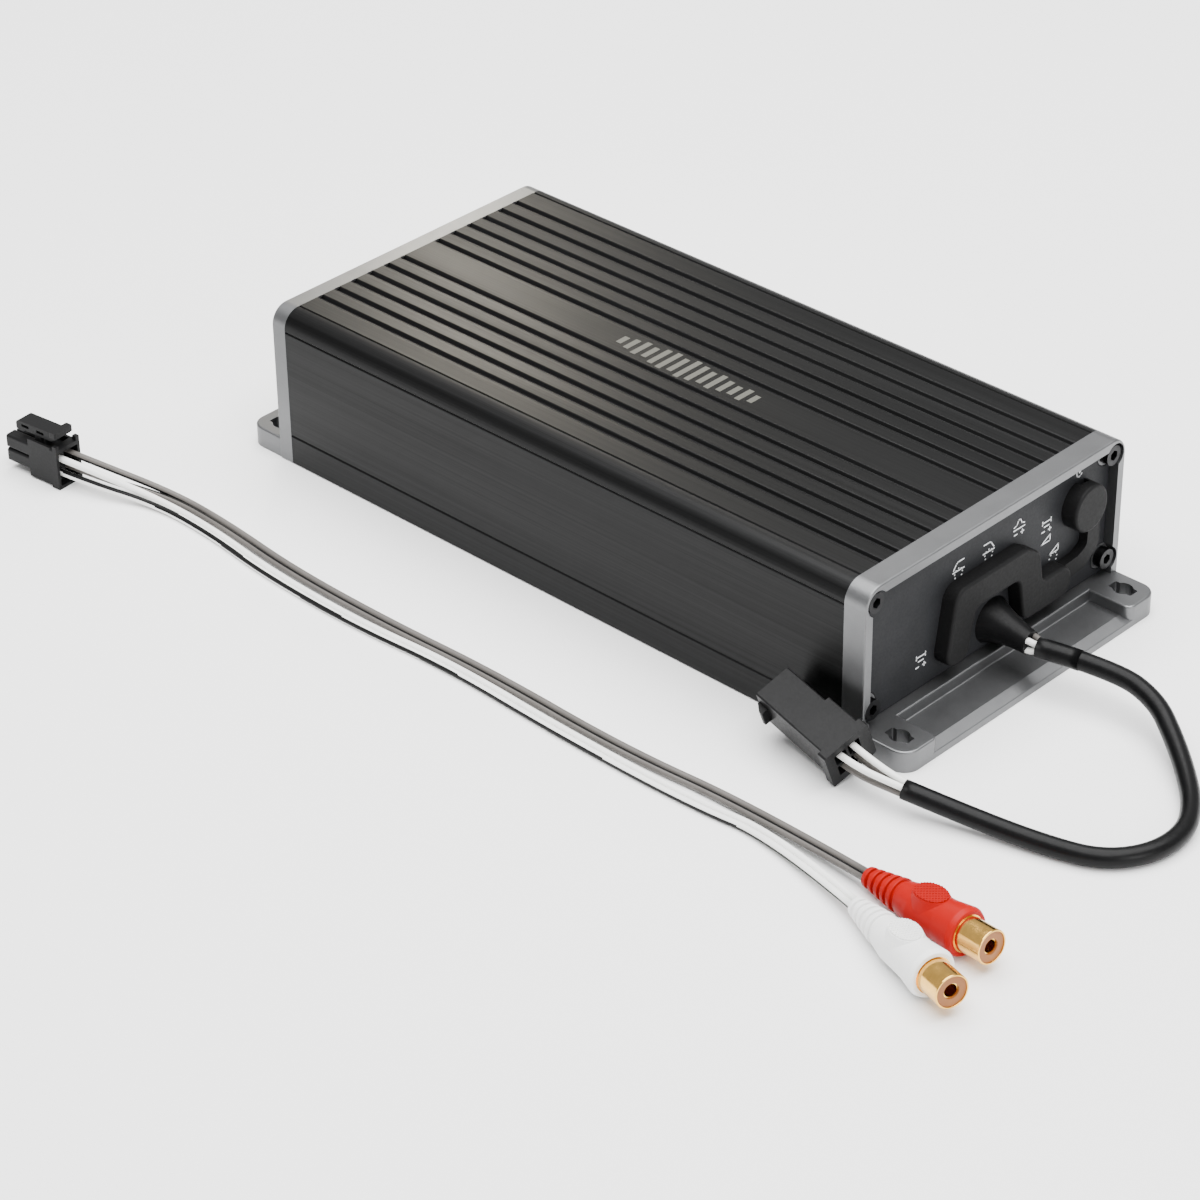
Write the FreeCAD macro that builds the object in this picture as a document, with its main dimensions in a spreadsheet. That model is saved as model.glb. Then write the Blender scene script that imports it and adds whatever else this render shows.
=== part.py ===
import FreeCAD, Part
import math
import os
from FreeCAD import Placement, Rotation, Vector

# Compact in-vehicle class-D amplifier: a finned aluminium extrusion closed by
# two cast end caps with mounting feet, a control panel under a rubber cover,
# a captive input pigtail and a loose adapter lead with two phono sockets.
# +X runs along the body towards the control end, +Z is up, the base is at 0.

doc = FreeCAD.newDocument("amplifier")

# ---------------------------------------------------------------- dimensions
SIZES = {
    # extruded body
    "body_width": 100.0,
    "body_height": 46.2,
    "body_length": 194.4,
    "corner_radius": 5.3,
    "base_radius": 0.6,
    "side_wall": 3.2,
    "top_wall": 3.6,
    "floor_wall": 2.6,
    # grooves along the top and the sides
    "groove_first": 6.5,
    "groove_pitch": 6.06,
    "groove_width": 2.0,
    "groove_depth": 0.9,
    "line_inset": 5.7,
    "line_width": 0.7,
    "line_depth": 0.4,
    "side_line_low": 8.8,
    "side_line_high": 40.4,
    # end caps
    "control_cap_depth": 6.7,
    "wire_cap_depth": 5.0,
    "control_foot_reach": 13.5,
    "wire_foot_reach": 12.4,
    "frame_band": 2.6,
    "recess_depth": 2.8,
    "wire_recess": 1.9,
    "panel_thickness": 1.5,
    "panel_gap": 0.2,
    "flange_band": 7.0,
    "gasket_thickness": 0.8,
    "gasket_inset": 0.6,
    # feet
    "foot_height": 6.0,
    "foot_inset": 0.4,
    "ear_width": 12.0,
    "ear_radius": 4.6,
    "ear_inner_radius": 2.2,
    "shelf_overhang": 0.6,
    "tray_height": 2.8,
    "lip_height": 1.9,
    "lip_width": 3.2,
    "edge_rounding": 0.4,
    "hole_from_front": 7.0,
    "hole_from_side": 6.1,
    "hole_radius": 2.65,
    "slot_half_width": 1.6,
    "slot_half_length": 3.5,
    "notch_depth": 4.0,
    # cap screws
    "screw_side": 4.3,
    "screw_top": 4.7,
    "screw_low": 11.0,
    "screw_radius": 1.5,
    "screw_head_radius": 2.75,
    "screw_head_height": 2.4,
    "screw_length": 14.0,
    "screw_clearance": 0.15,
    "pocket_radius": 3.5,
    "boss_size": 4.2,
    # boards
    "board_thickness": 1.6,
    "board_height": 5.1,
    "board_slot_depth": 1.4,
    "board_clearance": 0.2,
    "control_board_gap": 10.6,
    # controls
    "shaft_radius": 1.5,
    "shaft_stand": 1.2,
    "shaft_gap": 0.15,
    "pot_size": 9.4,
    "pot_depth": 6.4,
    "slider_travel": 2.5,
    "slider_size": 2.0,
    "cover_height": 4.3,
    "cap_radius": 6.5,
    "cap_height": 4.6,
    "strap_height": 2.6,
    "soft_gap": 0.05,
    "cover_rounding": 0.8,
    "jack_radius": 3.0,
    "jack_stand": 2.4,
    "nut_flats": 8.0,
    "nut_height": 1.8,
    # cable boot
    "boot_length": 12.5,
    "boot_base_radius": 6.3,
    "boot_height": 12.9,
    "boot_side": 2.0,
    "boot_droop": 1.5,
    "boot_tip_radius": 3.15,
    "boot_neck_radius": 4.2,
    "boot_flange_radius": 5.1,
    "boot_flange_depth": 2.0,
    "wire_radius": 0.8,
    "wire_hole_radius": 0.95,
    "wire_spread": 1.45,
    # power parts
    "device_width": 10.2,
    "device_thickness": 4.6,
    "device_height": 15.4,
    "device_base": 15.4,
    "device_pitch": 14.0,
    "pad_thickness": 0.5,
    "clamp_thickness": 2.5,
    "clamp_height": 8.0,
    "clamp_screw_radius": 1.25,
    "clamp_screw_depth": 2.2,
    "toroid_radius": 22.0,
    "toroid_bore": 7.0,
    "toroid_height": 21.0,
    "core_cover": 2.6,
    "toroid_x": -40.0,
    "choke_radius": 13.5,
    "choke_bore": 5.0,
    "choke_width": 12.0,
    "capacitor_radius": 8.0,
    "capacitor_height": 31.5,
    "socket_width": 40.0,
    "socket_height": 16.0,
    "socket_depth": 20.0,
    "socket_low": 14.0,
    "socket_wall": 1.6,
    "blade_inset": 4.6,
    "blade_thickness": 0.8,
    # input pigtail
    "sheath_radius": 2.5,
    "sleeve_radius": 2.75,
    "plug_pitch": 4.2,
    # phono sockets
    "phono_shell_radius": 4.3,
    "phono_shell_wall": 0.45,
    "phono_anchor": 0.3,
    "phono_shell_length": 7.6,
    "phono_body_radius": 6.1,
    "phono_length": 40.0,
    # adapter wires
    "lead_radius": 0.93,
}

sheet = doc.addObject("Spreadsheet::Sheet", "Sizes")
for row, (alias, value) in enumerate(SIZES.items(), start=1):
    sheet.set("A%d" % row, alias)
    sheet.set("B%d" % row, str(value))
    sheet.setAlias("B%d" % row, alias)
doc.recompute()


class Dimensions:
    """The sheet's values by name, for outline points worked out here."""

    def __init__(self, values):
        for name, value in values.items():
            setattr(self, name, float(value))


d = Dimensions(SIZES)


# ---------------------------------------------------------------- helpers
def bind(item, **expressions):
    """Tie properties of a document object to sheet expressions."""
    for name, text in expressions.items():
        item.setExpression(name.replace("__", "."), text)
    return item


def rounded(points):
    """Closed outline through (u, v, radius) corners, as lines and arcs."""
    count = len(points)
    corners = []
    for index in range(count):
        u, v, radius = points[index]
        here = Vector(u, v, 0)
        before = Vector(points[index - 1][0], points[index - 1][1], 0)
        after = Vector(points[(index + 1) % count][0], points[(index + 1) % count][1], 0)
        if radius <= 0:
            corners.append((here, None, here))
            continue
        back = (before - here).normalize()
        ahead = (after - here).normalize()
        half = back.getAngle(ahead) / 2
        reach = radius / math.tan(half)
        start = here + back * reach
        end = here + ahead * reach
        middle_way = (back + ahead).normalize()
        centre = here + middle_way * (radius / math.sin(half))
        corners.append((start, centre - middle_way * radius, end))
    edges = []
    for index in range(count):
        start, middle, end = corners[index]
        if middle is not None:
            edges.append(Part.Arc(start, middle, end))
        following = corners[(index + 1) % count][0]
        if (following - end).Length > 1e-6:
            edges.append(Part.LineSegment(end, following))
    return edges


def ring(u, v, radius):
    """Circle as a one-piece outline."""
    return [Part.Circle(Vector(u, v, 0), Vector(0, 0, 1), radius)]


def rectangle(u_low, v_low, u_high, v_high, radius=0.0):
    """Rectangle outline with equal corner radii."""
    return rounded([
        (u_low, v_low, radius),
        (u_high, v_low, radius),
        (u_high, v_high, radius),
        (u_low, v_high, radius),
    ])


def new_body(label):
    """Empty PartDesign body."""
    body = doc.addObject("PartDesign::Body", label)
    body.Label = label
    return body


def sketch_on(body, plane, offset, loops):
    """Sketch on one of the body's own planes, moved along the plane's normal."""
    sketch = body.newObject("Sketcher::SketchObject", body.Name + "_sketch")
    for item in body.Origin.OriginFeatures:
        if item.Role == plane + "_Plane":
            sketch.AttachmentSupport = (item, [""])
    sketch.MapMode = "FlatFace"
    sketch.setExpression("AttachmentOffset.Base.z", offset)
    for loop in loops:
        for edge in loop:
            sketch.addGeometry(edge, False)
    sketch.Visibility = False
    return sketch


def pad(body, plane, offset, length, loops, backwards=False):
    """Add material from a sketch."""
    sketch = sketch_on(body, plane, offset, loops)
    feature = body.newObject("PartDesign::Pad", body.Name + "_pad")
    feature.Profile = sketch
    feature.setExpression("Length", length)
    feature.Reversed = backwards
    doc.recompute()
    return feature


def pocket(body, plane, offset, length, loops, forwards=False):
    """Take material away from a sketch; forwards cuts along the plane's normal."""
    sketch = sketch_on(body, plane, offset, loops)
    feature = body.newObject("PartDesign::Pocket", body.Name + "_pocket")
    feature.Profile = sketch
    feature.setExpression("Length", length)
    feature.Reversed = forwards
    doc.recompute()
    return feature


def revolve(body, loops):
    """Turn an XZ outline about the body's X axis."""
    sketch = sketch_on(body, "XZ", "0", loops)
    feature = body.newObject("PartDesign::Revolution", body.Name + "_turn")
    feature.Profile = sketch
    feature.ReferenceAxis = (sketch, ["H_Axis"])
    feature.Angle = 360
    doc.recompute()
    return feature


def round_edges(body, radius, wanted):
    """Fillet the edges of the body's tip whose middle point passes the test."""
    tip = body.Tip
    names = []
    for index, edge in enumerate(tip.Shape.Edges, start=1):
        span = (edge.FirstParameter + edge.LastParameter) / 2
        if wanted(edge.valueAt(span), edge):
            names.append("Edge%d" % index)
    feature = body.newObject("PartDesign::Fillet", body.Name + "_round")
    feature.Base = (tip, names)
    feature.setExpression("Radius", radius)
    doc.recompute()
    return feature


def block(name, low, size):
    """Part box from expressions for its low corner and its three sizes."""
    item = doc.addObject("Part::Box", name)
    bind(item, Length=size[0], Width=size[1], Height=size[2])
    bind(item, Placement__Base__x=low[0], Placement__Base__y=low[1], Placement__Base__z=low[2])
    item.Visibility = False
    return item


TURNS = {
    "X": Rotation(Vector(0, 1, 0), 90),
    "Y": Rotation(Vector(1, 0, 0), -90),
    "Z": Rotation(),
}


def rod(name, base, axis, radius, length):
    """Part cylinder along a named axis from expressions."""
    item = doc.addObject("Part::Cylinder", name)
    bind(item, Radius=radius, Height=length)
    item.Placement = Placement(Vector(0, 0, 0), TURNS[axis])
    bind(item, Placement__Base__x=base[0], Placement__Base__y=base[1], Placement__Base__z=base[2])
    item.Visibility = False
    return item


def join(label, items):
    """Fuse several shapes into one document object."""
    fused = doc.addObject("Part::MultiFuse", label)
    fused.Shapes = items
    fused.Label = label
    return fused


def take(label, base, tools):
    """Cut one or more tools from a base shape."""
    tool = tools[0] if len(tools) == 1 else join(label + "_tools", tools)
    result = doc.addObject("Part::Cut", label)
    result.Base = base
    result.Tool = tool
    result.Label = label
    return result


def cord_wire(points):
    """Straight runs joined by tangent arcs, and the tightest arc radius."""
    spots = [Vector(*point) for point in points]
    edges = []
    start = spots[0]
    tightest = 1e9
    for before, here, after in zip(spots, spots[1:], spots[2:]):
        back = before - here
        ahead = after - here
        turn = math.pi - back.getAngle(ahead)
        shorter = min(back.Length, ahead.Length)
        radius = 0.45 * shorter / math.tan(turn / 2)
        tightest = min(tightest, radius)
        back.normalize()
        ahead.normalize()
        first = here + back * (0.45 * shorter)
        last = here + ahead * (0.45 * shorter)
        middle_way = (back + ahead).normalize()
        depth = radius / math.cos(turn / 2) - radius
        edges.append(Part.makeLine(start, first))
        edges.append(Part.Arc(first, here + middle_way * depth, last).toShape())
        start = last
    edges.append(Part.makeLine(start, spots[-1]))
    return Part.Wire(edges), tightest


def tube(points, radius):
    """Round cord along a route of hand-placed points."""
    wire, tightest = cord_wire(points)
    first = Vector(*points[0])
    way = Vector(*points[1]) - first
    section = Part.Wire([Part.makeCircle(radius, first, way)])
    solid = wire.makePipeShell([section], True, False)
    length = wire.Length
    print("cord length %.1f tightest %.1f diameter %.1f volume ratio %.4f" % (
        length, tightest, 2 * radius, solid.Volume / (math.pi * radius ** 2 * length)))
    return solid


def feature(label, shape):
    """Plain shape as a document object, for pieces no sketch or primitive fits."""
    item = doc.addObject("Part::Feature", label)
    item.Shape = shape
    item.Placement = Placement()
    item.Label = label
    return item


nodes = []


def keep(item):
    """Mark a document object as one of the exported nodes."""
    nodes.append(item)
    return item


# ---------------------------------------------------------------- shared places
half_width = d.body_width / 2
overall = (d.body_length + d.control_cap_depth + d.wire_cap_depth
           + d.control_foot_reach + d.wire_foot_reach)
control_front = overall / 2
control_face = control_front - d.control_foot_reach
body_end = control_face - d.control_cap_depth
body_start = body_end - d.body_length
wire_face = body_start - d.wire_cap_depth
wire_front = -overall / 2
panel_face = control_face - d.recess_depth
panel_back = panel_face - d.panel_thickness
screw_y = half_width - d.screw_side
screw_z = d.body_height - d.screw_top
inner_half = half_width - d.side_wall
ceiling = d.body_height - d.top_wall
board_top = d.board_height + d.board_thickness
screw_places = [(sign * screw_y, height) for sign in (-1, 1) for height in (d.screw_low, screw_z)]

# The same places as sheet expressions.
E_ALL = ("(Sizes.body_length + Sizes.control_cap_depth + Sizes.wire_cap_depth"
         " + Sizes.control_foot_reach + Sizes.wire_foot_reach)")
E_FACE = "(%s / 2 - Sizes.control_foot_reach)" % E_ALL
E_END = "(%s - Sizes.control_cap_depth)" % E_FACE
E_START = "(%s - Sizes.body_length)" % E_END
E_WIRE_FACE = "(%s - Sizes.wire_cap_depth)" % E_START
E_PANEL = "(%s - Sizes.recess_depth)" % E_FACE
E_PANEL_BACK = "(%s - Sizes.panel_thickness)" % E_PANEL
E_HALF = "(Sizes.body_width / 2)"
E_INNER = "(%s - Sizes.side_wall)" % E_HALF
E_BOARD_TOP = "(Sizes.board_height + Sizes.board_thickness)"
E_SCREW_Z = "(Sizes.body_height - Sizes.screw_top)"


# ---------------------------------------------------------------- extruded body
def groove_dip(centre, width, depth, height):
    """Four corners of a groove in a top land, listed from +Y to -Y."""
    half = width / 2
    foot = half * 0.42
    soft = min(width, depth) * 0.42
    return [
        (centre + half, height, soft),
        (centre + foot, height - depth, soft * 0.5),
        (centre - foot, height - depth, soft * 0.5),
        (centre - half, height, soft),
    ]


def side_dip(side, height, climbing):
    """Three corners of a V line in a side wall."""
    half = d.line_width / 2
    dip = [
        (side * half_width, height - half, 0),
        (side * (half_width - d.line_depth), height, 0),
        (side * half_width, height + half, 0),
    ]
    return dip if climbing else dip[::-1]


def body_outline():
    """Outer section of the extrusion, anticlockwise seen from +X."""
    points = [(-half_width, 0, d.base_radius), (half_width, 0, d.base_radius)]
    points += side_dip(1, d.side_line_low, True) + side_dip(1, d.side_line_high, True)
    points.append((half_width, d.body_height, d.corner_radius))
    line = half_width - d.line_inset
    half = d.line_width / 2
    centres = [d.groove_first + index * d.groove_pitch for index in range(6)]

    def line_dip(centre):
        return [
            (centre + half, d.body_height, 0),
            (centre, d.body_height - d.line_depth, 0),
            (centre - half, d.body_height, 0),
        ]

    points += line_dip(line)
    for centre in reversed(centres):
        points += groove_dip(centre, d.groove_width, d.groove_depth, d.body_height)
    for centre in centres:
        points += groove_dip(-centre, d.groove_width, d.groove_depth, d.body_height)
    points += line_dip(-line)
    points.append((-half_width, d.body_height, d.corner_radius))
    points += side_dip(-1, d.side_line_high, False) + side_dip(-1, d.side_line_low, False)
    return rounded(points)


def cavity_outline():
    """Inner section: board slots low down and four screw bosses."""
    slot = inner_half + d.board_slot_depth
    slot_low = d.board_height - d.board_clearance
    slot_high = board_top + d.board_clearance
    boss = screw_y - d.boss_size / 2 - 0.9
    boss_low = d.screw_low - d.boss_size / 2 - 0.4
    boss_high = d.screw_low + d.boss_size / 2 + 0.7
    top_boss = screw_z - d.boss_size / 2 - 0.9
    right = [
        (inner_half, d.floor_wall, 0.8),
        (inner_half, slot_low, 0),
        (slot, slot_low, 0),
        (slot, slot_high, 0),
        (inner_half, slot_high, 0),
        (inner_half, boss_low, 0),
        (boss, boss_low, 0.6),
        (boss, boss_high, 0.6),
        (inner_half, boss_high + 0.8, 0.4),
        (inner_half, top_boss - 0.8, 0.4),
        (boss, top_boss, 0.6),
        (boss, ceiling, 0.6),
    ]
    left = [(-y, z, radius) for y, z, radius in reversed(right)]
    return rounded(right + left)


shell = new_body("heatsink_extrusion")
bores = [ring(y, z, d.screw_radius) for y, z in screw_places]
pad(shell, "YZ", E_START, "Sizes.body_length", [body_outline(), cavity_outline()] + bores)

clamp_centre = -12.0
clamp_length = 96.0
clamp_height_centre = d.device_base + d.device_height * 0.62
clamp_screws_x = [clamp_centre + step * d.device_pitch for step in (-2.5, -0.5, 2.5)]
for side in (-1, 1):
    start_y = side * (inner_half - 2)
    pocket(shell, "XZ", "%g" % (-start_y), "2 + Sizes.clamp_screw_depth",
           [ring(x, clamp_height_centre, d.clamp_screw_radius) for x in clamp_screws_x],
           forwards=(side < 0))
keep(shell)


# ---------------------------------------------------------------- end caps
def cap_section():
    """Outer contour that a cap shares with the body."""
    return rounded([
        (-half_width, 0, d.base_radius),
        (half_width, 0, d.base_radius),
        (half_width, d.body_height, d.corner_radius),
        (-half_width, d.body_height, d.corner_radius),
    ])


def panel_outline(gap):
    """Opening of a cap's recess, or the panel that fills it."""
    side = half_width - d.frame_band - gap
    top = d.body_height - d.frame_band - gap
    corner = max(d.corner_radius - d.frame_band, 0.6)
    return rounded([
        (-side, d.foot_height + gap, 0),
        (side, d.foot_height + gap, 0),
        (side, top, corner),
        (-side, top, corner),
    ])


def gasket_contour(gap):
    """Outer contour of a gasket's seat, inset from the body's section."""
    side = half_width - d.gasket_inset - gap
    top = d.body_height - d.gasket_inset - gap
    low = d.gasket_inset + gap
    corner = d.corner_radius - d.gasket_inset
    return rounded([
        (-side, low, 0.5),
        (side, low, 0.5),
        (side, top, corner),
        (-side, top, corner),
    ])


def window_outline():
    """Opening through a cap behind its panel."""
    side = half_width - d.frame_band - d.flange_band
    top = d.body_height - d.frame_band - 3.4
    return rectangle(-side, d.foot_height + 1.6, side, top, 2.0)


def end_cap(label, outward, e_inner, inner_x, face_x, front_x, e_face, depth, recess):
    """Cast cap: frame with a recessed seat, and a foot with two slotted ears."""
    body = new_body(label)
    back = outward < 0
    pad(body, "YZ", e_inner, depth, [cap_section()], backwards=back)
    round_edges(body, "0.5", lambda point, edge: abs(point.x - face_x) < 1e-4)
    foot_half = half_width - d.foot_inset
    ear_inner = foot_half - d.ear_width
    shelf_x = face_x + outward * d.shelf_overhang
    for side in (-1, 1):
        ear = rounded([
            (inner_x, side * ear_inner, 0),
            (front_x, side * ear_inner, d.ear_inner_radius),
            (front_x, side * foot_half, d.ear_radius),
            (inner_x, side * foot_half, 0),
        ])
        pad(body, "XY", "0", "Sizes.foot_height", [ear])

    def ear_top(point, edge):
        """Top edges of the ears in front of the cap's face."""
        flat = all(abs(vertex.Z - d.foot_height) < 1e-4 for vertex in edge.Vertexes)
        return flat and outward * (point.x - face_x) > d.shelf_overhang + 0.2

    round_edges(body, "0.55", ear_top)
    profile = [
        (inner_x, 0, 0),
        (front_x, 0, 0),
        (front_x, d.lip_height, d.edge_rounding),
        (front_x - outward * d.lip_width, d.tray_height, d.edge_rounding),
        (shelf_x, d.tray_height, d.edge_rounding),
        (shelf_x, d.foot_height, d.edge_rounding),
        (inner_x, d.foot_height, 0),
    ]
    span = 2 * (foot_half - d.ear_radius - 1)
    pad(body, "XZ", "-%g" % (span / 2), "%g" % span, [rounded(profile)])
    # recess for the panel, seats for the screws and pockets round their heads
    seat = recess + " + Sizes.panel_thickness"
    pocket(body, "YZ", e_face, seat, [panel_outline(0.0)], forwards=back)
    sign = "-" if outward > 0 else "+"
    e_floor = "%s %s (%s)" % (e_face, sign, seat)
    for y, z in screw_places:
        spot = ring(y, z, d.pocket_radius)
        pad(body, "YZ", e_floor, "Sizes.panel_thickness", [spot], backwards=back)
        pocket(body, "YZ", e_face, recess, [spot], forwards=back)
    # rebate for the sealing gasket
    pocket(body, "YZ", e_inner, "Sizes.gasket_thickness", [gasket_contour(0.0)], forwards=not back)
    pocket(body, "YZ", e_face, depth + " + 1", [window_outline()], forwards=back)
    holes = [ring(y, z, d.screw_radius + d.screw_clearance) for y, z in screw_places]
    pocket(body, "YZ", e_face, depth + " + 1", holes, forwards=back)
    # mounting holes in the ears: a round hole with a blind notch at each end
    hole_x = front_x - outward * d.hole_from_front
    for side in (-1, 1):
        hole_y = side * (half_width - d.hole_from_side)
        pocket(body, "XY", "Sizes.foot_height", "Sizes.foot_height",
               [ring(hole_x, hole_y, d.hole_radius)])
        pocket(body, "XY", "Sizes.foot_height", "Sizes.notch_depth",
               [rectangle(hole_x - d.slot_half_length, hole_y - d.slot_half_width,
                          hole_x + d.slot_half_length, hole_y + d.slot_half_width, 0.5)])
    return keep(body)


end_cap("control_end_cap", 1, E_END, body_end, control_face, control_front, E_FACE,
        "Sizes.control_cap_depth", "Sizes.recess_depth")
end_cap("wire_end_cap", -1, E_START, body_start, wire_face, wire_front, E_WIRE_FACE,
        "Sizes.wire_cap_depth", "Sizes.wire_recess")


# ---------------------------------------------------------------- gaskets
def gasket(label, e_inner, backwards):
    """Flat rubber ring between the body's end and a cap."""
    body = new_body(label)
    holes = [ring(y, z, d.screw_radius + d.screw_clearance) for y, z in screw_places]
    pad(body, "YZ", e_inner, "Sizes.gasket_thickness",
        [gasket_contour(0.1), window_outline()] + holes, backwards=backwards)
    return keep(body)


gasket("control_gasket", E_END, False)
gasket("wire_gasket", E_START, True)


# ---------------------------------------------------------------- control places
pot_places = {
    "hi_pass": (-12.2, 27.4),
    "lo_pass": (-1.2, 27.4),
    "bass_boost": (9.8, 26.6),
    "gain": (22.4, 14.7),
}
switch_places = {
    "dc_offset": (-15.4, 17.0),
    "input_level": (12.0, 15.6),
}
jack_y = 34.9
jack_z = 31.7
E_CONTROL_BOARD = "(%s - Sizes.control_board_gap)" % E_PANEL_BACK


# ---------------------------------------------------------------- panels
def corner_notches():
    """Circles that clear the screw seats at a panel's corners."""
    return [ring(y, z, d.pocket_radius + 0.2) for y, z in screw_places]


def slider_window(y, z):
    """Slot that a slide switch's nub travels in."""
    half = d.slider_size / 2 + 0.3
    reach = half + d.slider_travel / 2
    return rectangle(y - half, z - reach, y + half, z + reach, 0.3)


control_panel = new_body("control_panel")
pad(control_panel, "YZ", E_PANEL_BACK, "Sizes.panel_thickness", [panel_outline(d.panel_gap)])
openings = corner_notches()
openings += [ring(y, z, d.shaft_radius + 0.5) for y, z in pot_places.values()]
openings += [slider_window(y, z) for y, z in switch_places.values()]
openings.append(ring(jack_y, jack_z, d.jack_radius + 0.15))
openings.append(ring(d.boot_side, d.boot_height, d.boot_neck_radius + 0.1))
for opening in openings:
    pocket(control_panel, "YZ", E_PANEL, "Sizes.panel_thickness", [opening])
keep(control_panel)

socket_half = d.socket_width / 2
socket_top = d.socket_low + d.socket_height
E_WIRE_PANEL = "(%s + Sizes.wire_recess)" % E_WIRE_FACE

wire_panel = new_body("wire_panel")
pad(wire_panel, "YZ", E_WIRE_PANEL, "Sizes.panel_thickness", [panel_outline(d.panel_gap)])
openings = corner_notches()
openings.append(rectangle(-socket_half - 0.15, d.socket_low - 0.15,
                          socket_half + 0.15, socket_top + 0.15, 1.15))
for opening in openings:
    pocket(wire_panel, "YZ", E_WIRE_PANEL, "Sizes.panel_thickness", [opening], forwards=True)
keep(wire_panel)


# ---------------------------------------------------------------- cap screws
def cap_screws(label, outward, e_seat):
    """Four hexagon-socket screws sharing one node."""
    pieces = []
    sign = "-" if outward > 0 else "+"
    for number, (y, z) in enumerate(screw_places):
        e_y = "%s * (%s - Sizes.screw_side)" % ("1" if y > 0 else "-1", E_HALF)
        e_z = "Sizes.screw_low" if z < d.body_height / 2 else E_SCREW_Z
        name = "%s_%d" % (label, number)
        if outward > 0:
            head_x = e_seat
            shank_x = "%s - Sizes.screw_length" % e_seat
            socket_x = "%s + Sizes.screw_head_height - 1.5" % e_seat
        else:
            head_x = "%s - Sizes.screw_head_height" % e_seat
            shank_x = e_seat
            socket_x = "%s - Sizes.screw_head_height" % e_seat
        head = rod(name + "_head", (head_x, e_y, e_z), "X",
                   "Sizes.screw_head_radius", "Sizes.screw_head_height")
        shank = rod(name + "_shank", (shank_x, e_y, e_z), "X",
                    "Sizes.screw_radius", "Sizes.screw_length")
        key = doc.addObject("Part::Prism", name + "_key")
        key.Polygon = 6
        bind(key, Circumradius="Sizes.screw_radius * 0.97", Height="1.5")
        key.Placement = Placement(Vector(0, 0, 0), TURNS["X"])
        bind(key, Placement__Base__x=socket_x, Placement__Base__y=e_y, Placement__Base__z=e_z)
        key.Visibility = False
        pieces.append(take(name + "_screw", join(name + "_blank", [head, shank]), [key]))
    return keep(join(label, pieces))


cap_screws("control_cap_screws", 1, E_PANEL)
cap_screws("wire_cap_screws", -1, E_WIRE_PANEL)


# ---------------------------------------------------------------- rubber control cover
cover_outline = [
    (-20.9, 10.2, 3.7),
    (-12.4, 10.2, 3.2),
    (-9.4, 23.6, 2.4),
    (7.2, 23.6, 2.4),
    (9.6, 10.2, 3.0),
    (28.4, 10.2, 4.0),
    (28.4, 19.0, 4.0),
    (16.9, 19.0, 1.4),
    (15.2, 28.2, 3.4),
    (9.6, 31.6, 4.0),
    (-17.3, 31.6, 4.2),
]
strap_outline = [
    (26.0, 12.6, 0),
    (36.2, 13.4, 4.5),
    (41.2, 17.8, 3.0),
    (41.0, 28.0, 0),
    (36.6, 28.0, 0),
    (36.4, 19.6, 2.0),
    (33.0, 18.0, 2.4),
    (26.0, 17.6, 0),
]
E_SEAT = "(%s + Sizes.soft_gap)" % E_PANEL
cover = new_body("control_cover")
pad(cover, "YZ", E_SEAT, "Sizes.cover_height", [rounded(cover_outline)])
pad(cover, "YZ", E_SEAT, "Sizes.strap_height", [rounded(strap_outline)])
pad(cover, "YZ", E_SEAT, "Sizes.cap_height", [ring(jack_y, jack_z, d.cap_radius)])
cover_front = panel_face + d.soft_gap + d.cover_height
cap_front = panel_face + d.soft_gap + d.cap_height


def cover_rim(point, edge):
    """Front edges of the cover's raised part and of its round cap."""
    on_cap = math.hypot(point.y - jack_y, point.z - jack_z) > d.cap_radius - 0.1
    return abs(point.x - cover_front) < 1e-4 or (abs(point.x - cap_front) < 1e-4 and on_cap)


round_edges(cover, "Sizes.cover_rounding", cover_rim)
for y, z in pot_places.values():
    pocket(cover, "YZ", E_SEAT, "Sizes.shaft_stand + 1.2", [ring(y, z, d.shaft_radius + 1.2)],
           forwards=True)
for y, z in switch_places.values():
    half = d.slider_size / 2 + 0.9
    reach = half + d.slider_travel / 2
    pocket(cover, "YZ", E_SEAT, "Sizes.shaft_stand + 1.2",
           [rectangle(y - half, z - reach, y + half, z + reach, 0.5)], forwards=True)
pocket(cover, "YZ", E_SEAT, "Sizes.jack_stand + 0.6",
       [ring(jack_y, jack_z, d.nut_flats / math.sqrt(3) + 0.3)], forwards=True)
pocket(cover, "YZ", E_SEAT, "1.6",
       [rectangle(jack_y - 1.2, jack_z + 3.6, jack_y + 2.2, jack_z + d.cap_radius + 1)],
       forwards=True)
keep(cover)


# ---------------------------------------------------------------- rotary controls
def control_shaft(label, y, z):
    """Trimmer shaft with a screwdriver slot in its end."""
    back = "(%s + 1)" % E_CONTROL_BOARD
    length = "%s + Sizes.shaft_stand - %s" % (E_PANEL, back)
    shaft = rod(label + "_rod", (back, "%g" % y, "%g" % z), "X", "Sizes.shaft_radius", length)
    cut = block(label + "_cut",
                ("%s + Sizes.shaft_stand - 0.9" % E_PANEL, "%g - 0.3" % y, "%g - 2" % z),
                ("2", "0.6", "4"))
    return keep(take(label, shaft, [cut]))


pot_housings = []
for name, (y, z) in pot_places.items():
    control_shaft(name + "_shaft", y, z)
    case = block(name + "_case",
                 (E_CONTROL_BOARD, "%g - Sizes.pot_size / 2" % y, "%g - Sizes.pot_size / 2" % z),
                 ("Sizes.pot_depth", "Sizes.pot_size", "Sizes.pot_size"))
    bore = rod(name + "_bore", ("%s + 0.9" % E_CONTROL_BOARD, "%g" % y, "%g" % z), "X",
               "Sizes.shaft_radius + Sizes.shaft_gap", "Sizes.pot_depth")
    pot_housings.append(take(name + "_housing", case, [bore]))
keep(join("pot_housings", pot_housings))

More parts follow.
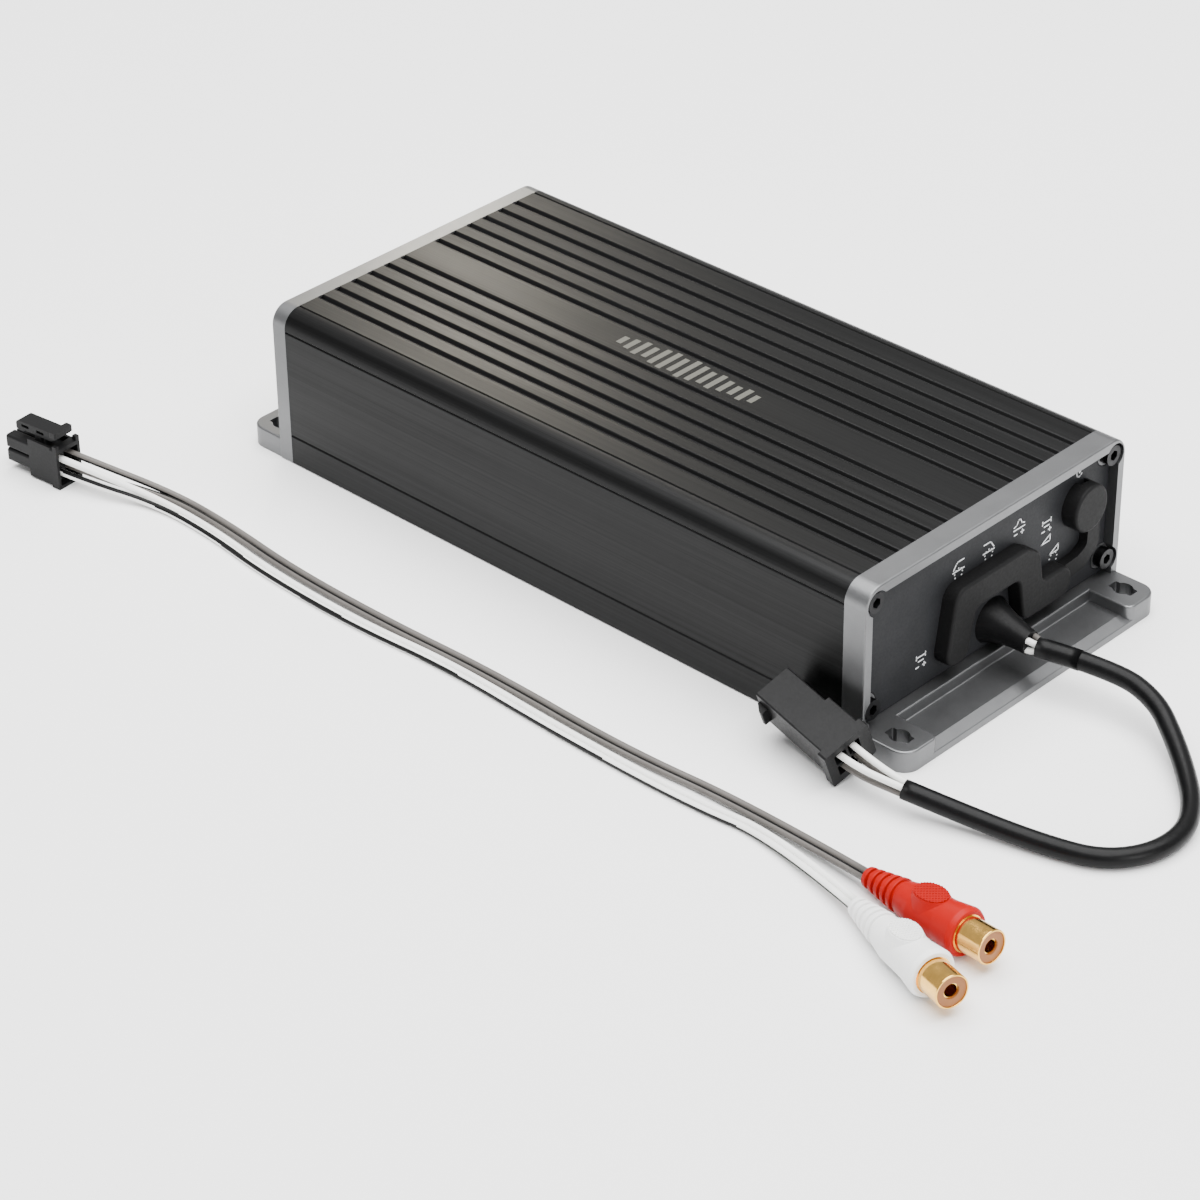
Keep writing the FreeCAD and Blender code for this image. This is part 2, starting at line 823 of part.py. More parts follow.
switch_housings = []
for name, (y, z) in switch_places.items():
    case = block(name + "_case", (E_CONTROL_BOARD, "%g - 2.4" % y, "%g - 4.4" % z),
                 ("5.4", "4.8", "8.8"))
    well = block(name + "_well",
                 ("%s + 3.4" % E_CONTROL_BOARD, "%g - Sizes.slider_size / 2 - 0.15" % y,
                  "%g - Sizes.slider_size / 2 - Sizes.slider_travel / 2 - 0.2" % z),
                 ("3", "Sizes.slider_size + 0.3", "Sizes.slider_size + Sizes.slider_travel + 0.4"))
    switch_housings.append(take(name + "_housing", case, [well]))
    start = "(%s + 3.6)" % E_CONTROL_BOARD
    slider = block(name + "_slider",
                   (start, "%g - Sizes.slider_size / 2" % y,
                    "%g - Sizes.slider_size / 2 - Sizes.slider_travel / 2" % z),
                   ("%s + Sizes.shaft_stand - %s" % (E_PANEL, start),
                    "Sizes.slider_size", "Sizes.slider_size"))
    keep(slider)
keep(join("switch_housings", switch_housings))

# ---------------------------------------------------------------- remote jack and its nut
jack_case = block("remote_jack_case",
                  (E_CONTROL_BOARD, "%g - 4.5" % jack_y, "%g - 4.5" % jack_z),
                  ("Sizes.control_board_gap", "9", "9"))
jack_barrel = rod("remote_jack_barrel", (E_PANEL_BACK, "%g" % jack_y, "%g" % jack_z), "X",
                  "Sizes.jack_radius", "Sizes.panel_thickness + Sizes.jack_stand")
jack_bore = rod("remote_jack_bore", ("%s - 9" % E_PANEL_BACK, "%g" % jack_y, "%g" % jack_z), "X",
                "1.8", "9 + Sizes.panel_thickness + Sizes.jack_stand + 1")
keep(take("remote_jack", join("remote_jack_blank", [jack_case, jack_barrel]), [jack_bore]))

nut_blank = doc.addObject("Part::Prism", "remote_nut_blank")
nut_blank.Polygon = 6
bind(nut_blank, Circumradius="Sizes.nut_flats / sqrt(3)", Height="Sizes.nut_height")
nut_blank.Placement = Placement(Vector(0, 0, 0), TURNS["X"])
bind(nut_blank, Placement__Base__x=E_PANEL, Placement__Base__y="%g" % jack_y,
     Placement__Base__z="%g" % jack_z)
nut_hole = rod("remote_nut_hole", ("%s - 1" % E_PANEL, "%g" % jack_y, "%g" % jack_z), "X",
               "Sizes.jack_radius", "Sizes.nut_height + 2")
keep(take("remote_jack_nut", nut_blank, [nut_hole]))

# ---------------------------------------------------------------- boards
E_SLOT = "(%s + Sizes.board_slot_depth - 0.3)" % E_INNER
main_board = block("main_board", ("%s + 3" % E_START, "-%s" % E_SLOT, "Sizes.board_height"),
                   ("Sizes.body_length - 7", "2 * %s" % E_SLOT, "Sizes.board_thickness"))
keep(main_board)
board_blank = block("control_board_blank",
                    ("%s - Sizes.board_thickness" % E_CONTROL_BOARD, "-24", E_BOARD_TOP),
                    ("Sizes.board_thickness", "66", "31"))
lead_notch = block("control_board_notch",
                   ("%s - Sizes.board_thickness - 1" % E_CONTROL_BOARD, "Sizes.boot_side - 4.5",
                    "%s - 1" % E_BOARD_TOP),
                   ("Sizes.board_thickness + 2", "9", "Sizes.boot_height + 4.5 - %s" % E_BOARD_TOP))
keep(take("control_board", board_blank, [lead_notch]))
link = block("board_link",
             ("%s - Sizes.board_thickness - 3.2" % E_CONTROL_BOARD, "12", E_BOARD_TOP),
             ("3.2", "24", "3.4"))
keep(link)

# ---------------------------------------------------------------- input header and its leads
wire_spots = [(sy * d.wire_spread, sz * d.wire_spread) for sy in (-1, 1) for sz in (-1, 1)]
header_front = "(%s - 14)" % E_CONTROL_BOARD
header_blank = block("input_header_blank",
                     ("%s - 10" % header_front, "Sizes.boot_side - 5", E_BOARD_TOP),
                     ("10", "10", "Sizes.boot_height + 4 - %s" % E_BOARD_TOP))
header_holes = []
input_leads = []
for number, (dy, dz) in enumerate(wire_spots):
    e_y = "Sizes.boot_side + %g" % dy
    e_z = "Sizes.boot_height + %g" % dz
    header_holes.append(rod("header_hole_%d" % number, ("%s - 6" % header_front, e_y, e_z), "X",
                            "Sizes.wire_hole_radius", "8"))
    input_leads.append(rod("input_lead_%d" % number, ("%s - 5.5" % header_front, e_y, e_z), "X",
                           "Sizes.wire_radius",
                           "%s + 0.5 - (%s - 5.5)" % (E_PANEL_BACK, header_front)))
keep(take("input_header", header_blank, header_holes))
keep(join("input_leads", input_leads))

# ---------------------------------------------------------------- power devices
device_pieces = []
pad_pieces = []
clamp_pieces = []
screw_pieces = []
device_x = [clamp_centre + (step - 3) * d.device_pitch for step in range(7)]
for side, tag in ((-1, "left"), (1, "right")):
    face = "(%s - Sizes.pad_thickness)" % E_INNER

    def low_y(near, far):
        """Lower Y of a piece between two distances from the middle plane."""
        return near if side > 0 else "-(%s)" % far

    device_near = "(%s - Sizes.device_thickness)" % face
    clamp_near = "(%s - Sizes.clamp_thickness)" % device_near
    for number, x in enumerate(device_x):
        case = block("device_%s_%d" % (tag, number),
                     ("%g - Sizes.device_width / 2" % x, low_y(device_near, face),
                      "Sizes.device_base"),
                     ("Sizes.device_width", "Sizes.device_thickness", "Sizes.device_height"))
        legs = block("device_legs_%s_%d" % (tag, number),
                     ("%g - 2.9" % x, low_y("(%s - 1.5)" % device_near, "(%s - 0.8)" % device_near),
                      E_BOARD_TOP),
                     ("5.8", "0.7", "Sizes.device_base + 1.2 - %s" % E_BOARD_TOP))
        bend = block("device_bend_%s_%d" % (tag, number),
                     ("%g - 2.9" % x, low_y("(%s - 1.5)" % device_near, device_near),
                      "Sizes.device_base + 0.5"),
                     ("5.8", "1.5", "0.7"))
        device_pieces.append(join("transistor_%s_%d" % (tag, number), [case, legs, bend]))
    bar = block("bar_%s" % tag,
                ("%g" % (clamp_centre - clamp_length / 2), low_y(clamp_near, device_near),
                 "%g - Sizes.clamp_height / 2" % clamp_height_centre),
                ("%g" % clamp_length, "Sizes.clamp_thickness", "Sizes.clamp_height"))
    sheet_pad = block("pad_%s" % tag,
                      ("%g" % (clamp_centre - 50), low_y(face, E_INNER), "Sizes.device_base - 0.4"),
                      ("100", "Sizes.pad_thickness", "Sizes.device_height + 0.8"))
    bar_holes = []
    pad_holes = []
    for number, x in enumerate(clamp_screws_x):
        place = ("%g" % x, "0", "%g" % clamp_height_centre)
        hole = rod("bar_hole_%s_%d" % (tag, number), place, "Y", "Sizes.clamp_screw_radius", "60")
        pad_hole = rod("pad_hole_%s_%d" % (tag, number), place, "Y", "Sizes.clamp_screw_radius", "60")
        head = rod("clamp_head_%s_%d" % (tag, number),
                   ("%g" % x, low_y("(%s - 1.8)" % clamp_near, clamp_near),
                    "%g" % clamp_height_centre),
                   "Y", "Sizes.clamp_screw_radius * 2", "1.8")
        reach = "(%s + Sizes.clamp_screw_depth - 0.2)" % E_INNER
        shank = rod("clamp_shank_%s_%d" % (tag, number),
                    ("%g" % x, low_y(clamp_near, reach), "%g" % clamp_height_centre),
                    "Y", "Sizes.clamp_screw_radius", "%s - %s" % (reach, clamp_near))
        if side < 0:
            hole.setExpression("Placement.Base.y", "-60")
            pad_hole.setExpression("Placement.Base.y", "-60")
        bar_holes.append(hole)
        pad_holes.append(pad_hole)
        screw_pieces.append(join("clamp_screw_%s_%d" % (tag, number), [head, shank]))
    clamp_pieces.append(take("clamp_%s" % tag, bar, bar_holes))
    pad_pieces.append(take("film_%s" % tag, sheet_pad, pad_holes))
keep(join("power_transistors", device_pieces))
keep(join("thermal_pads", pad_pieces))
keep(join("clamp_bars", clamp_pieces))
keep(join("clamp_screws", screw_pieces))


# ---------------------------------------------------------------- toroid, chokes, capacitors
def ring_section(inner, outer, low, high, radius):
    """Rounded rectangle to be turned about an axis."""
    return [rectangle(inner, low, outer, high, radius)]


def upright_ring(label, x, y, inner, outer, low, high, radius):
    """Ring with a vertical axis, turned from a sketch and then placed."""
    body = new_body(label)
    sketch = sketch_on(body, "XZ", "0", ring_section(inner, outer, low, high, radius))
    turn = body.newObject("PartDesign::Revolution", label + "_turn")
    turn.Profile = sketch
    turn.ReferenceAxis = (sketch, ["V_Axis"])
    turn.Angle = 360
    body.Placement = Placement(Vector(x, y, 0), Rotation())
    doc.recompute()
    return body


toroid_low = board_top + 0.4
toroid_high = toroid_low + d.toroid_height
core_radius = d.toroid_radius - d.core_cover
core_bore = d.toroid_bore + d.core_cover
core_low = toroid_low + d.core_cover
core_high = toroid_high - d.core_cover
keep(upright_ring("toroid_core", d.toroid_x, 0, core_bore, core_radius, core_low, core_high, 1.0))
winding_blank = upright_ring("toroid_blank", d.toroid_x, 0, d.toroid_bore, d.toroid_radius,
                             toroid_low, toroid_high, 3.4)
core_space = upright_ring("toroid_space", d.toroid_x, 0, core_bore, core_radius,
                          core_low, core_high, 1.0)
keep(take("toroid_winding", winding_blank, [core_space]))

chokes = []
for number, x in enumerate((6.0, 24.0)):
    centre_z = "%s + Sizes.choke_radius + 0.3" % E_BOARD_TOP
    outer = rod("choke_outer_%d" % number, ("%g" % x, "10", centre_z), "X",
                "Sizes.choke_radius", "Sizes.choke_width")
    inner = rod("choke_inner_%d" % number, ("%g - 1" % x, "10", centre_z), "X",
                "Sizes.choke_bore", "Sizes.choke_width + 2")
    chokes.append(take("choke_%d" % number, outer, [inner]))
keep(join("output_chokes", chokes))

capacitors = []
for number, (x, y) in enumerate(((8, -16), (28, -16), (50, -18), (50, 2), (50, 22), (69, -22))):
    can = rod("can_%d" % number, ("%g" % x, "%g" % y, E_BOARD_TOP), "Z",
              "Sizes.capacitor_radius", "Sizes.capacitor_height")
    capacitors.append(can)
keep(join("filter_capacitors", capacitors))

# ---------------------------------------------------------------- power and speaker socket
socket = new_body("power_socket")
E_SOCKET_FRONT = "(%s - 0.6)" % E_WIRE_PANEL
pad(socket, "YZ", E_SOCKET_FRONT, "Sizes.socket_depth",
    [rectangle(-socket_half, d.socket_low, socket_half, socket_top, 1.0)])
blade_y = [(index - 1.5) * (d.socket_width - 2 * d.socket_wall) / 4 for index in range(4)]
blade_half = d.blade_thickness / 2
blade_low = d.socket_low + d.blade_inset
blade_high = socket_top - d.blade_inset
pocket(socket, "YZ", E_SOCKET_FRONT, "Sizes.socket_depth * 0.62",
       [rectangle(-socket_half + d.socket_wall, d.socket_low + d.socket_wall,
                  socket_half - d.socket_wall, socket_top - d.socket_wall, 0.8)],
       forwards=True)
for y in blade_y:
    pocket(socket, "YZ", "%s + Sizes.socket_depth" % E_SOCKET_FRONT, "Sizes.socket_depth * 0.5",
           [rectangle(y - blade_half, blade_low, y + blade_half, blade_high)])
keep(socket)
blades = []
for number, y in enumerate(blade_y):
    blades.append(block("blade_%d" % number,
                        ("%s + 3" % E_SOCKET_FRONT, "%g" % (y - blade_half), "%g" % blade_low),
                        ("Sizes.socket_depth - 1", "Sizes.blade_thickness",
                         "%g" % (blade_high - blade_low))))
keep(join("power_blades", blades))
feet = block("power_bus", ("%s + Sizes.socket_depth" % E_SOCKET_FRONT, "-%g" % (socket_half - 2),
                           E_BOARD_TOP),
             ("6", "%g" % (2 * socket_half - 4), "%g - %s" % (socket_top - 3, E_BOARD_TOP)))
slots = block("power_bus_slots", ("%s + Sizes.socket_depth - 1" % E_SOCKET_FRONT,
                                  "-%g" % (socket_half + 1), "%g" % blade_low),
              ("3", "%g" % (2 * socket_half + 2), "%g" % (blade_high - blade_low)))
keep(take("power_terminal_block", feet, [slots]))

# ---------------------------------------------------------------- cable boot
tip_x = panel_face + d.boot_length
tip_z = d.boot_height - d.boot_droop
boot = new_body("cable_boot")
boot_axis = ring(d.boot_side, d.boot_height, d.boot_flange_radius)
pad(boot, "YZ", "%s - Sizes.boot_flange_depth" % E_PANEL_BACK, "Sizes.boot_flange_depth", [boot_axis])
pad(boot, "YZ", E_PANEL_BACK, "Sizes.panel_thickness + 0.2",
    [ring(d.boot_side, d.boot_height, d.boot_neck_radius)])
stations = [0.0, 0.3, 0.6, 1.0]
blend = [1.0, 0.5, 0.2, 0.0]
sections = []
for share, weight in zip(stations, blend):
    radius = d.boot_tip_radius + (d.boot_base_radius - d.boot_tip_radius) * weight
    centre_z = d.boot_height - d.boot_droop * share ** 1.5
    offset = "%s + Sizes.soft_gap + (Sizes.boot_length - Sizes.soft_gap) * %g" % (E_PANEL, share)
    sections.append(sketch_on(boot, "YZ", offset, [ring(d.boot_side, centre_z, radius)]))
loft = boot.newObject("PartDesign::AdditiveLoft", "boot_loft")
loft.Profile = sections[0]
loft.Sections = sections[1:]
doc.recompute()
for dy, dz in wire_spots:
    pocket(boot, "YZ", "%s + Sizes.boot_length + 0.1" % E_PANEL, "5",
           [ring(d.boot_side + dy, tip_z + dz, d.wire_hole_radius)])
pocket(boot, "YZ", "%s - Sizes.boot_flange_depth" % E_PANEL_BACK, "9",
       [ring(d.boot_side, d.boot_height, 3.0)], forwards=True)
keep(boot)

# ---------------------------------------------------------------- input pigtail
sheath_route = [
    (114.8, 1.9, 11.4),
    (134.5, 7.4, 10.8),
    (147.5, 6.0, 8.8),
    (157.6, -0.4, 6.0),
    (167.0, -8.0, 4.0),
    (174.6, -15.8, 2.9),
    (179.6, -25.2, 2.6),
    (179.0, -37.0, 2.6),
    (172.0, -46.8, 2.6),
    (160.0, -51.0, 2.7),
    (142.0, -55.2, 3.6),
    (124.2, -60.6, 6.6),
]
keep(feature("pigtail_sheath", tube(sheath_route, d.sheath_radius)))

first = Vector(*sheath_route[0])
way = Vector(*sheath_route[1]) - first
way.normalize()
sleeve = Part.makeCylinder(d.sleeve_radius, 12.0, first - way * 0.3, way)
sleeve = sleeve.cut(Part.makeCylinder(d.sheath_radius, 13.0, first - way * 0.5, way))
keep(feature("pigtail_sleeve", sleeve))


def wire_bundle(label, routes, radius):
    """Several short wires of one colour as one node."""
    return keep(feature(label, Part.makeCompound([tube(route, radius) for route in routes])))


def boot_route(dy, dz):
    """One wire from inside the boot to the sleeve."""
    return [
        (tip_x - 4.6, d.boot_side + dy, tip_z + dz),
        (tip_x + 0.4, d.boot_side + dy, tip_z + dz),
        (sheath_route[0][0] - 0.9, sheath_route[0][1] + dy * 0.6, sheath_route[0][2] + dz * 0.6),
    ]


white_spots = [spot for spot in wire_spots if spot[0] < 0]
grey_spots = [spot for spot in wire_spots if spot[0] > 0]
wire_bundle("boot_wires_white", [boot_route(*spot) for spot in white_spots], d.wire_radius)
wire_bundle("boot_wires_grey", [boot_route(*spot) for spot in grey_spots], d.wire_radius)

# Input connector on the pigtail: local X runs from its mouth to its wire end.
connector_place = Placement(Vector(94.7, -59.2, 10.4), Rotation(-8.3, 8.7, 23.6))
connector_length = 27.0
connector_half = 5.2
pin_half = d.plug_pitch / 2
pin_spots = [(sy * pin_half, sz * pin_half) for sy in (-1, 1) for sz in (-1, 1)]
mouth = -connector_length / 2
rear = connector_length / 2


connector = new_body("pigtail_connector")
pad(connector, "YZ", "%g" % mouth, "%g" % connector_length,
    [rectangle(-connector_half, -5.3, connector_half, 5.3, 0.5)])
pad(connector, "YZ", "0.5", "%g" % (rear - 0.5),
    [rectangle(-connector_half, -5.3, connector_half + 1.1, 5.3, 0.4)])
pad(connector, "YZ", "%g" % (rear - 2.6), "2.6", [rectangle(-6.4, -6.2, 7.2, 6.0, 0.6)])
pad(connector, "XY", "-2.4", "4.8", [rounded([
    (mouth + 0.4, -connector_half + 0.2, 0),
    (mouth + 0.4, -connector_half - 0.5, 0),
    (mouth + 2.6, -connector_half - 2.0, 0.3),
    (mouth + 3.6, -connector_half - 2.0, 0.3),
    (mouth + 3.6, -connector_half + 0.2, 0),
])])
pocket(connector, "YZ", "%g" % mouth, "12.0", [rectangle(-4.45, -4.45, 4.45, 4.45, 0.3)],
       forwards=True)
for dy, dz in pin_spots:
    pocket(connector, "YZ", "%g" % mouth, "%g" % connector_length, [ring(dy, dz, 0.62)],
           forwards=True)
    cell = rectangle(dy - 1.75, dz - 1.75, dy + 1.75, dz + 1.75, 0.3)
    pocket(connector, "YZ", "%g" % rear, "7.0", [cell])
connector.Placement = connector_place
keep(connector)

pins = Part.makeCompound([
    Part.makeCylinder(0.6, connector_length - 7.0 - 6.5, Vector(mouth + 6.5, dy, dz), Vector(1, 0, 0))
    for dy, dz in pin_spots
])
pin_item = feature("pigtail_contacts", pins)
pin_item.Placement = connector_place
keep(pin_item)

tail = Vector(*sheath_route[-1])
tail_way = Vector(*sheath_route[-2]) - tail
tail_way.normalize()


def fan_route(dy, dz):
    """One wire from a connector cell to the sheath's end."""
    inside = connector_place.multVec(Vector(rear - 6.4, dy, dz))
    outside = connector_place.multVec(Vector(rear + 2.6, dy * 0.95, dz * 0.95))
    meet = tail - tail_way * 0.7 + Vector(0, dy, dz) * 0.42
    return [tuple(inside), tuple(outside), tuple(meet)]


wire_bundle("fan_wires_white", [fan_route(*spot) for spot in pin_spots if spot[1] > 0], d.wire_radius)
wire_bundle("fan_wires_grey", [fan_route(*spot) for spot in pin_spots if spot[1] < 0], d.wire_radius)

# ---------------------------------------------------------------- adapter plug
# Local X runs from the nose at the low end to the wire end at 0.
plug_place = Placement(Vector(-134.7, -97.4, 5.8), Rotation(5.4, 0, 0))
plug_half = 4.0
plug_low = -5.4
plug_top = 4.4
plug_wall = 0.8
wall_top = 6.2
nose_x = -19.6
housing_x = -11.2
flange_x = -2.6
row_middle = 0.4
cell_half = 1.95
wire_cells = [(sy * 1.95, row_middle + sz * pin_half) for sy in (-1, 1) for sz in (-1, 1)]

plug = new_body("adapter_plug")
pad(plug, "YZ", "%g" % housing_x, "%g" % -housing_x,
    [rectangle(-plug_half, plug_low, plug_half, plug_top, 0.3)])
pad(plug, "YZ", "%g" % flange_x, "%g" % -flange_x,
    [rectangle(-plug_half - 0.4, plug_low - 0.4, plug_half + 0.4, wall_top, 0.4)])
for dy, dz in wire_cells:
    pad(plug, "YZ", "%g" % nose_x, "%g" % (housing_x - nose_x + 1.0),
        [rectangle(dy - cell_half + 0.1, dz - cell_half, dy + cell_half - 0.1, dz + cell_half, 0.7)])
# side walls of the latch's channel, and a raised corner at each end of the flange
for side in (-1, 1):
    inner = side * (plug_half - plug_wall)
    pad(plug, "YZ", "%g" % housing_x, "%g" % (flange_x - housing_x + 0.5), [rectangle(
        min(side * plug_half, inner), plug_top - 0.5, max(side * plug_half, inner), wall_top)])
    corner = side * (plug_half + 0.4)
    pad(plug, "YZ", "-1.4", "1.4", [rectangle(
        min(corner, inner), wall_top - 0.5, max(corner, inner), wall_top + 1.2)])
# wire cavity, cells and contact bores
pocket(plug, "YZ", "0", "2.4", [rectangle(-plug_half + 0.5, plug_low + 0.6, plug_half - 0.5,
                                          plug_top + 0.6, 0.3)])
for dy, dz in wire_cells:
    pocket(plug, "YZ", "0", "8.0", [ring(dy, dz, 1.4)])
    pocket(plug, "YZ", "%g" % nose_x, "13.4", [ring(dy, dz, 1.2)], forwards=True)
# two posts carry the latch lever
latch_low = 7.3
latch_half = 2.5
post_gap = 0.2
post = rounded([(-10.2, plug_top - 0.3, 0), (-7.2, plug_top - 0.3, 0),
                (-7.6, latch_low - post_gap, 0), (-9.8, latch_low - post_gap, 0)])
for offset in ("-%g" % (latch_half - 0.1), "%g" % (latch_half - 1.1)):
    pad(plug, "XZ", offset, "1.0", [post])
plug.Placement = plug_place
keep(plug)

latch = new_body("adapter_latch")
pad(latch, "XZ", "-%g" % latch_half, "%g" % (2 * latch_half), [rounded([
    (-16.6, latch_low - 0.6, 0.8),
    (-14.0, latch_low - 0.6, 0.3),
    (-13.4, latch_low, 0.3),
    (-3.6, latch_low, 0.3),
    (-1.2, latch_low + 1.4, 0.2),
    (-1.2, latch_low + 2.6, 0.3),
    (-16.6, latch_low + 2.3, 1.1),
])])
pad(latch, "XY", "%g" % (latch_low + 1.7), "1.7", [rectangle(-3.2, -3.3, -1.0, 3.3, 0.4)])
for start in (-14.6, -9.0):
    pocket(latch, "XZ", "%g" % latch_half, "0.7",
           [rectangle(start, latch_low + 0.8, start + 2.8, latch_low + 1.6, 0.2)])
    pocket(latch, "XZ", "-%g" % latch_half, "0.7",
           [rectangle(start, latch_low + 0.8, start + 2.8, latch_low + 1.6, 0.2)], forwards=True)
latch.Placement = plug_place
keep(latch)

sleeves = Part.makeCompound([
    Part.makeCylinder(1.15, 10.0, Vector(nose_x + 1.0, dy, dz), Vector(1, 0, 0)).cut(
        Part.makeCylinder(0.7, 10.0, Vector(nose_x, dy, dz), Vector(1, 0, 0)))
    for dy, dz in wire_cells
])
contacts = feature("adapter_contacts", sleeves)
contacts.Placement = plug_place
keep(contacts)

# ---------------------------------------------------------------- adapter wires
jack_places = {
    "red_jack": Placement(Vector(137.6, -89.0, 3.7), Rotation(-6.9, -4.9, 0)),
    "white_jack": Placement(Vector(142.8, -99.2, 3.7), Rotation(-18.5, -4.9, 0)),
}
red_side = jack_places["red_jack"].Rotation.multVec(Vector(0, 0.97, 0))
white_side = jack_places["white_jack"].Rotation.multVec(Vector(0, 0.97, 0))
red_end = jack_places["red_jack"].Base
white_end = jack_places["white_jack"].Base
floor_z = 0.95


def cell_end(side, row):
    """End of a wire inside a cell of the adapter plug."""
    spot = plug_place.multVec(Vector(-7.0, side * 1.95, row_middle + row * pin_half))
    return tuple(spot)


lead_routes = {
    "grey_lead": [
        cell_end(1, 1),
        (-126.5, -94.2, 8.4),
        (-108.0, -83.2, 1.3),
        (-86.0, -83.6, floor_z),
        (-58.0, -86.8, floor_z),
        (-22.0, -87.2, floor_z),
        (14.0, -85.6, floor_z),
        (60.0, -87.2, floor_z),
        (98.0, -83.9, floor_z),
        tuple(red_end + red_side),
    ],
    "grey_black_lead": [
        cell_end(1, -1),
        (-126.5, -94.3, 4.0),
        (-108.0, -85.2, 1.1),
        (-86.0, -85.6, floor_z),
        (-58.0, -88.8, floor_z),
        (-22.0, -89.2, floor_z),
        (14.0, -87.6, floor_z),
        (60.0, -89.2, floor_z),
        (98.0, -85.9, floor_z),
        tuple(red_end - red_side),
    ],
    "white_lead": [
        cell_end(-1, 1),
        (-126.5, -98.0, 8.4),
        (-108.0, -87.9, 1.3),
        (-86.0, -88.2, floor_z),
        (-62.0, -91.4, floor_z),
        (-28.0, -92.3, floor_z),
        (4.0, -89.7, floor_z),
        (42.0, -91.5, floor_z),
        (86.0, -91.5, floor_z),
        (110.0, -88.3, floor_z),
        tuple(white_end + white_side),
    ],
    "white_black_lead": [
        cell_end(-1, -1),
        (-126.5, -98.1, 4.0),
        (-108.0, -89.9, 1.1),
        (-86.0, -90.2, floor_z),
        (-62.0, -93.4, floor_z),
        (-28.0, -94.3, floor_z),
        (4.0, -91.7, floor_z),
        (42.0, -93.5, floor_z),
        (86.0, -93.5, floor_z),
        (110.0, -90.3, floor_z),
        tuple(white_end - white_side),
    ],
}
for label, route in lead_routes.items():
    keep(feature(label, tube(route, d.lead_radius)))

# ---------------------------------------------------------------- phono sockets
nose = d.phono_length - d.phono_shell_length
shell_back = nose - 8.0
anchor_radius = d.phono_shell_radius + d.phono_anchor


def phono_outline():
    """Half section of the moulded grip: ribbed relief, waist and nose."""
    points = [(0, 0, 0)]
    rib_count = 5
    rib_step = 2.4
    for index in range(rib_count):
        radius = 2.5 + index * 0.38
        start = index * rib_step
        points.append((start, radius, 0.25))
        points.append((start + 1.3, radius + 0.2, 0.25))
        points.append((start + 1.45, radius - 0.45, 0))
        points.append((start + rib_step - 0.1, radius - 0.35, 0))
    relief = rib_count * rib_step
    points += [
        (relief, 4.1, 0.4),
        (relief + 5.0, 5.1, 3.0),
        (nose - 7.0, 5.3, 4.0),
        (nose - 1.2, d.phono_body_radius, 1.0),
        (nose, d.phono_body_radius - 0.6, 0.4),
        (nose, anchor_radius, 0),
        (shell_back, anchor_radius, 0),
        (shell_back, 0, 0),
    ]
    return rounded(points)


for label, place in jack_places.items():
    grip = new_body(label + "_grip")
    revolve(grip, [phono_outline()])
    pad_centre = nose - 11.5
    shoulder = [
        sketch_on(grip, "XY", height, [[Part.Ellipse(Vector(pad_centre, 0, 0), major, minor)]])
        for height, major, minor in (("2.4", 6.4, 4.7), ("5.3", 4.9, 3.5))
    ]
    blend_up = grip.newObject("PartDesign::AdditiveLoft", label + "_shoulder")
    blend_up.Profile = shoulder[0]
    blend_up.Sections = shoulder[1:]
    doc.recompute()
    pad(grip, "XY", "5.0", "0.75", [[Part.Ellipse(Vector(pad_centre, 0, 0), 4.6, 3.3)]])
    pocket(grip, "YZ", "%g" % shell_back, "%g" % (nose - shell_back), [ring(0, 0, anchor_radius)],
           forwards=True)
    for slant in (-1, 1):
        pocket(grip, "XY", "5.75", "0.16", [
            rounded([(mid - slant * 4 - 0.16, -4, 0), (mid - slant * 4 + 0.16, -4, 0),
                     (mid + slant * 4 + 0.16, 4, 0), (mid + slant * 4 - 0.16, 4, 0)])
            for mid in (pad_centre + 0.95 * step for step in range(-6, 7))])
    grip.Placement = place
    keep(grip)

    barrel = new_body(label + "_shell")
    revolve(barrel, [rounded([
        (shell_back, d.phono_shell_radius - d.phono_shell_wall, 0),
        (shell_back, anchor_radius, 0),
        (nose - 0.05, anchor_radius, 0),
        (nose - 0.05, d.phono_shell_radius, 0),
        (d.phono_length, d.phono_shell_radius, 0.25),
        (d.phono_length, d.phono_shell_radius - d.phono_shell_wall, 0.1),
    ])])
    barrel.Placement = place
    keep(barrel)

    disc = new_body(label + "_insulator")
    disc_radius = d.phono_shell_radius - d.phono_shell_wall
    revolve(disc, [rounded([
        (shell_back, 0, 0),
        (shell_back, disc_radius, 0),
        (d.phono_length - 0.35, disc_radius, 0),
        (d.phono_length - 0.35, 2.0, 0),
        (d.phono_length - 10.0, 2.0, 0),
        (d.phono_length - 10.0, 0, 0),
    ])])
    disc.Placement = place
    keep(disc)

    contact = new_body(label + "_contact")
    revolve(contact, [rectangle(d.phono_length - 10.0, 1.65, d.phono_length - 0.8, 2.0)])
    contact.Placement = place
    keep(contact)

# ---------------------------------------------------------------- checks and export
doc.recompute()
for item in doc.Objects:
    if "Invalid" in item.State or "Error" in item.State:
        raise RuntimeError("%s is %s" % (item.Name, item.State))
labels = [item.Label for item in nodes]
if len(set(labels)) != len(labels):
    raise RuntimeError("two nodes share a name")
os.makedirs("parts", exist_ok=True)
for item in nodes:
    shape = item.Shape
    if shape.isNull() or not shape.isValid() or not shape.Solids:
        raise RuntimeError("%s has no valid solid" % item.Label)
    shape.exportStep("parts/%s.step" % item.Label)
    box = shape.BoundBox
    print(item.Label, len(shape.Solids), round(shape.Volume), [
        round(value, 1) for value in (box.XMin, box.XMax, box.YMin, box.YMax, box.ZMin, box.ZMax)])
print(len(nodes), "nodes")
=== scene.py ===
import math

import bpy
from mathutils import Matrix, Vector


